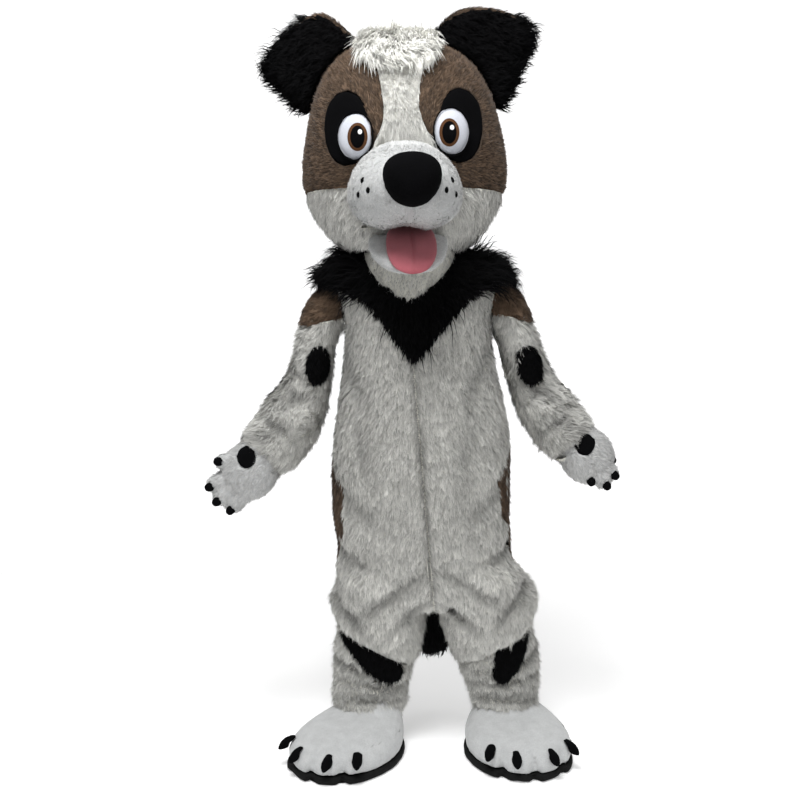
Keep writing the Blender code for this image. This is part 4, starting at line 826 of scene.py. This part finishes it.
# The face: a padded muzzle and lower jaw of smooth white velboa, a pink felt tongue, a wide
# black felt nose, plain black felt patches round the eyes and off-white oval eyes.
velboa = nap_finish("white_velboa_nap", (0.58, 0.59, 0.59), rough=0.85, sheen=0.15, patch_scale=42.0,
                    patch=0.07, grain_scale=520.0, bump_depth=0.0008)
velboa_fibre = nap_finish("white_velboa_fibre", (0.76, 0.76, 0.75), rough=0.85, sheen=0.2,
                          patch_scale=22.0, patch=0.03, tinted=True)
black_felt = nap_finish("black_felt_nap", (0.0025, 0.0025, 0.003), rough=0.9, sheen=0.0,
                        patch_scale=30.0, patch=0.15, grain_scale=800.0, bump_depth=0.0008)
pink_felt = nap_finish("pink_felt_nap", (0.44, 0.120, 0.145), rough=0.9, sheen=0.3, patch_scale=24.0,
                       patch=0.06, grain_scale=700.0, bump_depth=0.0008)
eye_felt = nap_finish("eye_felt", (0.62, 0.64, 0.70), rough=0.7, sheen=0.15, patch_scale=30.0,
                      patch=0.03, bump_depth=0.0003)
# node, finish, slot, sink, cell, fill of a stuffed piece or None for a flat patch
FACE = (
    ("muzzle", velboa, "white_velboa", 0.001, 0.006, 0.8),
    ("jaw", velboa, "white_velboa", 0.001, 0.010, 0.8),
    ("tongue", pink_felt, "pink_felt", 0.0, 0.0050, 0.4),
    ("nose", black_felt, "black_felt", 0.0, 0.009, 0.9),
    ("eye_patch_left", black_felt, "black_felt", 0.0, 0.010, None),
    ("eye_patch_right", black_felt, "black_felt", 0.0, 0.010, None),
    ("eye_left", eye_felt, "eye_white", 0.0, 0.008, 0.8),
    ("eye_right", eye_felt, "eye_white", 0.0, 0.008, 0.8),
)
NAP_COUNTS = {"muzzle": 15000, "jaw": 3000}
# the cleft below the nose and the tongue's middle groove
FACE_FOLDS = {
    "muzzle": ((-1, -0.0170, 0.150, -0.0170, 0.070, 0.0090, 0.0050),),
    "tongue": ((-1, -0.0145, 0.090, -0.0060, -0.030, 0.0045, 0.0034),),
}
for node, finish, slot, sink, cell, fill in FACE:
    cloth, side = cloth_of(node, sink=sink, cell=cell, rounds=6, thickest=0.0,
                           folds=FACE_FOLDS.get(node, ()))
    dress(cloth, finish)
    if node in NAP_COUNTS:
        short = pile(node + "_nap", side, count=NAP_COUNTS[node], length=0.0042, width=0.0013, seed=82,
                     lift=0.45, lock=0.009, root=0.94, shade=0.03, comb=away_from_the_nose, spread=0.3)
        dress(short, velboa_fibre)


# Felt discs: on each eye an even brown iris, a black pupil and a small white glint, all facing
# straight ahead, and on each side of the muzzle a regular set of three black whisker dots.
brown_felt = nap_finish("brown_iris_felt", (0.10, 0.045, 0.02), rough=0.8, sheen=0.1,
                        patch_scale=30.0, patch=0.1, grain_scale=800.0, bump_depth=0.0004)
glint_felt = nap_finish("glint_felt", (0.9, 0.9, 0.92), rough=0.6, sheen=0.0, patch_scale=30.0,
                        patch=0.02, grain_scale=800.0, bump_depth=0.0002)


def felt_disc(name, ground, start, toward, half_wide, half_high, lift, finish, slot):
    """An oval of felt laid on a piece where a line from outside meets it."""
    tree = BVHTree.FromObject(ground, bpy.context.evaluated_depsgraph_get())
    toward = Vector(toward).normalized()
    aside = toward.cross(Vector((0.0, 0.0, 1.0))).normalized()
    upward = aside.cross(toward)
    disc = bmesh.new()
    bmesh.ops.create_circle(disc, cap_ends=True, cap_tris=True, segments=28, radius=1.0)
    bmesh.ops.subdivide_edges(disc, edges=disc.edges[:], cuts=2, use_grid_fill=True)
    bmesh.ops.triangulate(disc, faces=disc.faces[:])
    for vert in disc.verts:
        far = min(1.0, math.hypot(vert.co.x, vert.co.y))
        spot = Vector(start) + aside * (vert.co.x * half_wide) + upward * (vert.co.y * half_high)
        hit = tree.ray_cast(spot, toward, 1.0)
        ground_level = hit[0] if hit[0] is not None else spot
        vert.co = ground_level - toward * (lift * math.sqrt(max(0.0, 1.0 - far ** 6)) + 0.0002)
    bmesh.ops.recalc_face_normals(disc, faces=disc.faces)
    felt = put_in_scene(name, mesh_of(disc, name))
    felt.data.shade_smooth()
    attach(felt, "root")
    dress(felt, finish)
    return felt


# a narrow rolled rim of black felt, sewn round each eye, that lies on the nearest cloth
RIM_RADIUS = 0.0019
RIM_SEARCH = 0.009
for side_name in ("left", "right"):
    eye_low, eye_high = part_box("eye_" + side_name)
    rim = bmesh.new()
    bmesh.ops.create_circle(rim, segments=10, radius=RIM_RADIUS)
    bmesh.ops.rotate(rim, verts=rim.verts, cent=(0, 0, 0),
                     matrix=Matrix.Rotation(math.radians(90), 3, "X"))
    bmesh.ops.translate(rim, verts=rim.verts, vec=(1.0, 0.0, 0.0))
    bmesh.ops.spin(rim, geom=rim.verts[:] + rim.edges[:], cent=(0, 0, 0), axis=(0, 0, 1),
                   angle=math.tau, steps=56, use_merge=True)
    middle = (Vector(eye_low) + Vector(eye_high)) / 2
    eye_cloth = bpy.data.objects["eye_" + side_name + "_cloth"]
    eye_verts = [vert.co for vert in eye_cloth.data.vertices]
    half_wide, half_high = (eye_high[0] - eye_low[0]) / 2, (eye_high[2] - eye_low[2]) / 2
    for vert in rim.verts:
        turn = math.atan2(vert.co.y, vert.co.x)
        out = math.hypot(vert.co.x, vert.co.y) - 1.0
        edge = Vector((middle.x + math.cos(turn) * half_wide, middle.z + math.sin(turn) * half_high))
        level = min(spot.y for spot in eye_verts
                    if (Vector((spot.x, spot.z)) - edge).length < RIM_SEARCH)
        vert.co = Vector((edge.x + math.cos(turn) * out, level + vert.co.z,
                          edge.y + math.sin(turn) * out))
    bmesh.ops.smooth_vert(rim, verts=rim.verts, factor=0.3, use_axis_x=False, use_axis_y=True,
                          use_axis_z=False)
    bmesh.ops.recalc_face_normals(rim, faces=rim.faces)
    eye_rim = put_in_scene("eye_rim_" + side_name, mesh_of(rim, "eye_rim_" + side_name))
    eye_rim.data.shade_smooth()
    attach(eye_rim, "root")
    dress(eye_rim, black_felt)


# x and z of each eye's middle
EYE_MIDDLES = {"left": (-0.140, 0.292), "right": (0.076, 0.302)}
# half width, half height and thickness
IRIS = (0.024, 0.033, 0.0012)
PUPIL = (0.017, 0.026, 0.0012)
GLINT = (0.0052, 0.006, 0.0006)
WHISKER_DOT = (0.0062, 0.0072, 0.0030)
GLINT_OFF_X, GLINT_OFF_Z = 0.006, 0.011
IN_FRONT, STRAIGHT_BACK = -0.6, (0, 1, 0)
for side_name, (x, z) in EYE_MIDDLES.items():
    eye = bpy.data.objects["eye_" + side_name + "_cloth"]
    start = (x, IN_FRONT, z)
    iris = felt_disc("iris_" + side_name, eye, start, STRAIGHT_BACK, *IRIS, brown_felt, "black_felt")
    pupil = felt_disc("pupil_" + side_name, iris, start, STRAIGHT_BACK, *PUPIL, black_felt,
                      "black_felt")
    start = (x + GLINT_OFF_X, IN_FRONT, z + GLINT_OFF_Z)
    felt_disc("glint_" + side_name, pupil, start, STRAIGHT_BACK, *GLINT, glint_felt, "eye_white")
# height, and how far round to the front in degrees
WHISKER_DOTS = ((0.182, 42.0), (0.158, 52.0), (0.150, 36.0))
MUZZLE_Y = -0.250
for side_name, outward in (("left", -1.0), ("right", 1.0)):
    for number, (height, turn) in enumerate(WHISKER_DOTS, 1):
        way = Vector((-outward * math.cos(math.radians(turn)), math.sin(math.radians(turn)), 0.0))
        start = Vector((FACE_X, MUZZLE_Y, height)) - way * 0.4
        felt_disc(f"whisker_dot_{side_name}_{number}", bpy.data.objects["muzzle_cloth"], start, way,
                  *WHISKER_DOT, black_felt, "black_felt")


# Hand paws and foot paws of the same velboa, with black felt claws and palm spots, on
# black foam soles.
sole_foam = nap_finish("black_sole_foam", (0.012, 0.012, 0.012), rough=0.75, sheen=0.0,
                       patch_scale=40.0, patch=0.1, grain_scale=500.0, bump_depth=0.0006)
CLAWS = (1, 2, 3, 4)
NOTCH_DEPTH, NOTCH_WIDTH = 0.022, 0.010
# how far back from the toes, and below which height, the notches fade in
NOTCH_BACK, NOTCH_BACK_FADE = 0.11, 0.08
NOTCH_TOP, NOTCH_TOP_FADE = -1.155, 0.03


def notch_toes(cloth, side_name):
    """Scallops between the toes: the front edge drawn back half way from claw to claw."""
    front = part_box("foot_" + side_name)[0][1]
    toes = [sum(corner[0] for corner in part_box(f"foot_claw_{side_name}_{n}")) / 2 for n in CLAWS]
    for vert in cloth.data.vertices:
        ahead = min(1.0, max(0.0, (front + NOTCH_BACK - vert.co.y) / NOTCH_BACK_FADE))
        ahead *= min(1.0, max(0.0, (NOTCH_TOP - vert.co.z) / NOTCH_TOP_FADE))
        for one, two in zip(toes, toes[1:]):
            aside = (vert.co.x - (one + two) / 2) / NOTCH_WIDTH
            vert.co.y += NOTCH_DEPTH * ahead * math.exp(-aside ** 2)


for node in ("glove_left", "glove_right", "foot_left", "foot_right"):
    if "foot" in node:
        cloth, side = cloth_of(node, sink=0.002, cell=0.011, rounds=6, thickest=0.0)
        notch_toes(cloth, node.replace("foot_", ""))
    else:
        cloth, side = cloth_of(node, sink=0.002, cell=0.009)
    dress(cloth, velboa)
    if "foot" in node:
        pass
    else:
        fur = pile(node + "_nap", side, count=11000, length=0.0070, width=0.0017, seed=81, lift=0.6,
                   lock=0.007, root=0.85, shade=0.03, comb=to_the_hand)
        dress(fur, velboa_fibre)
for side_name in ("left", "right"):
    for node in [f"{paw}_claw_{side_name}_{n}" for paw in ("foot", "hand") for n in CLAWS]:
        cloth, side = cloth_of(node, sink=0.0, cell=0.006, rounds=2, thickest=0.0)
        dress(cloth, black_felt)
    cloth, side = cloth_of("hand_spot_" + side_name, sink=0.0, cell=0.008)
    dress(cloth, black_felt)
    cloth, side = cloth_of("sole_" + side_name, sink=0.0, cell=0.011, thickest=0.0)
    notch_toes(cloth, side_name)
    dress(cloth, sole_foam)
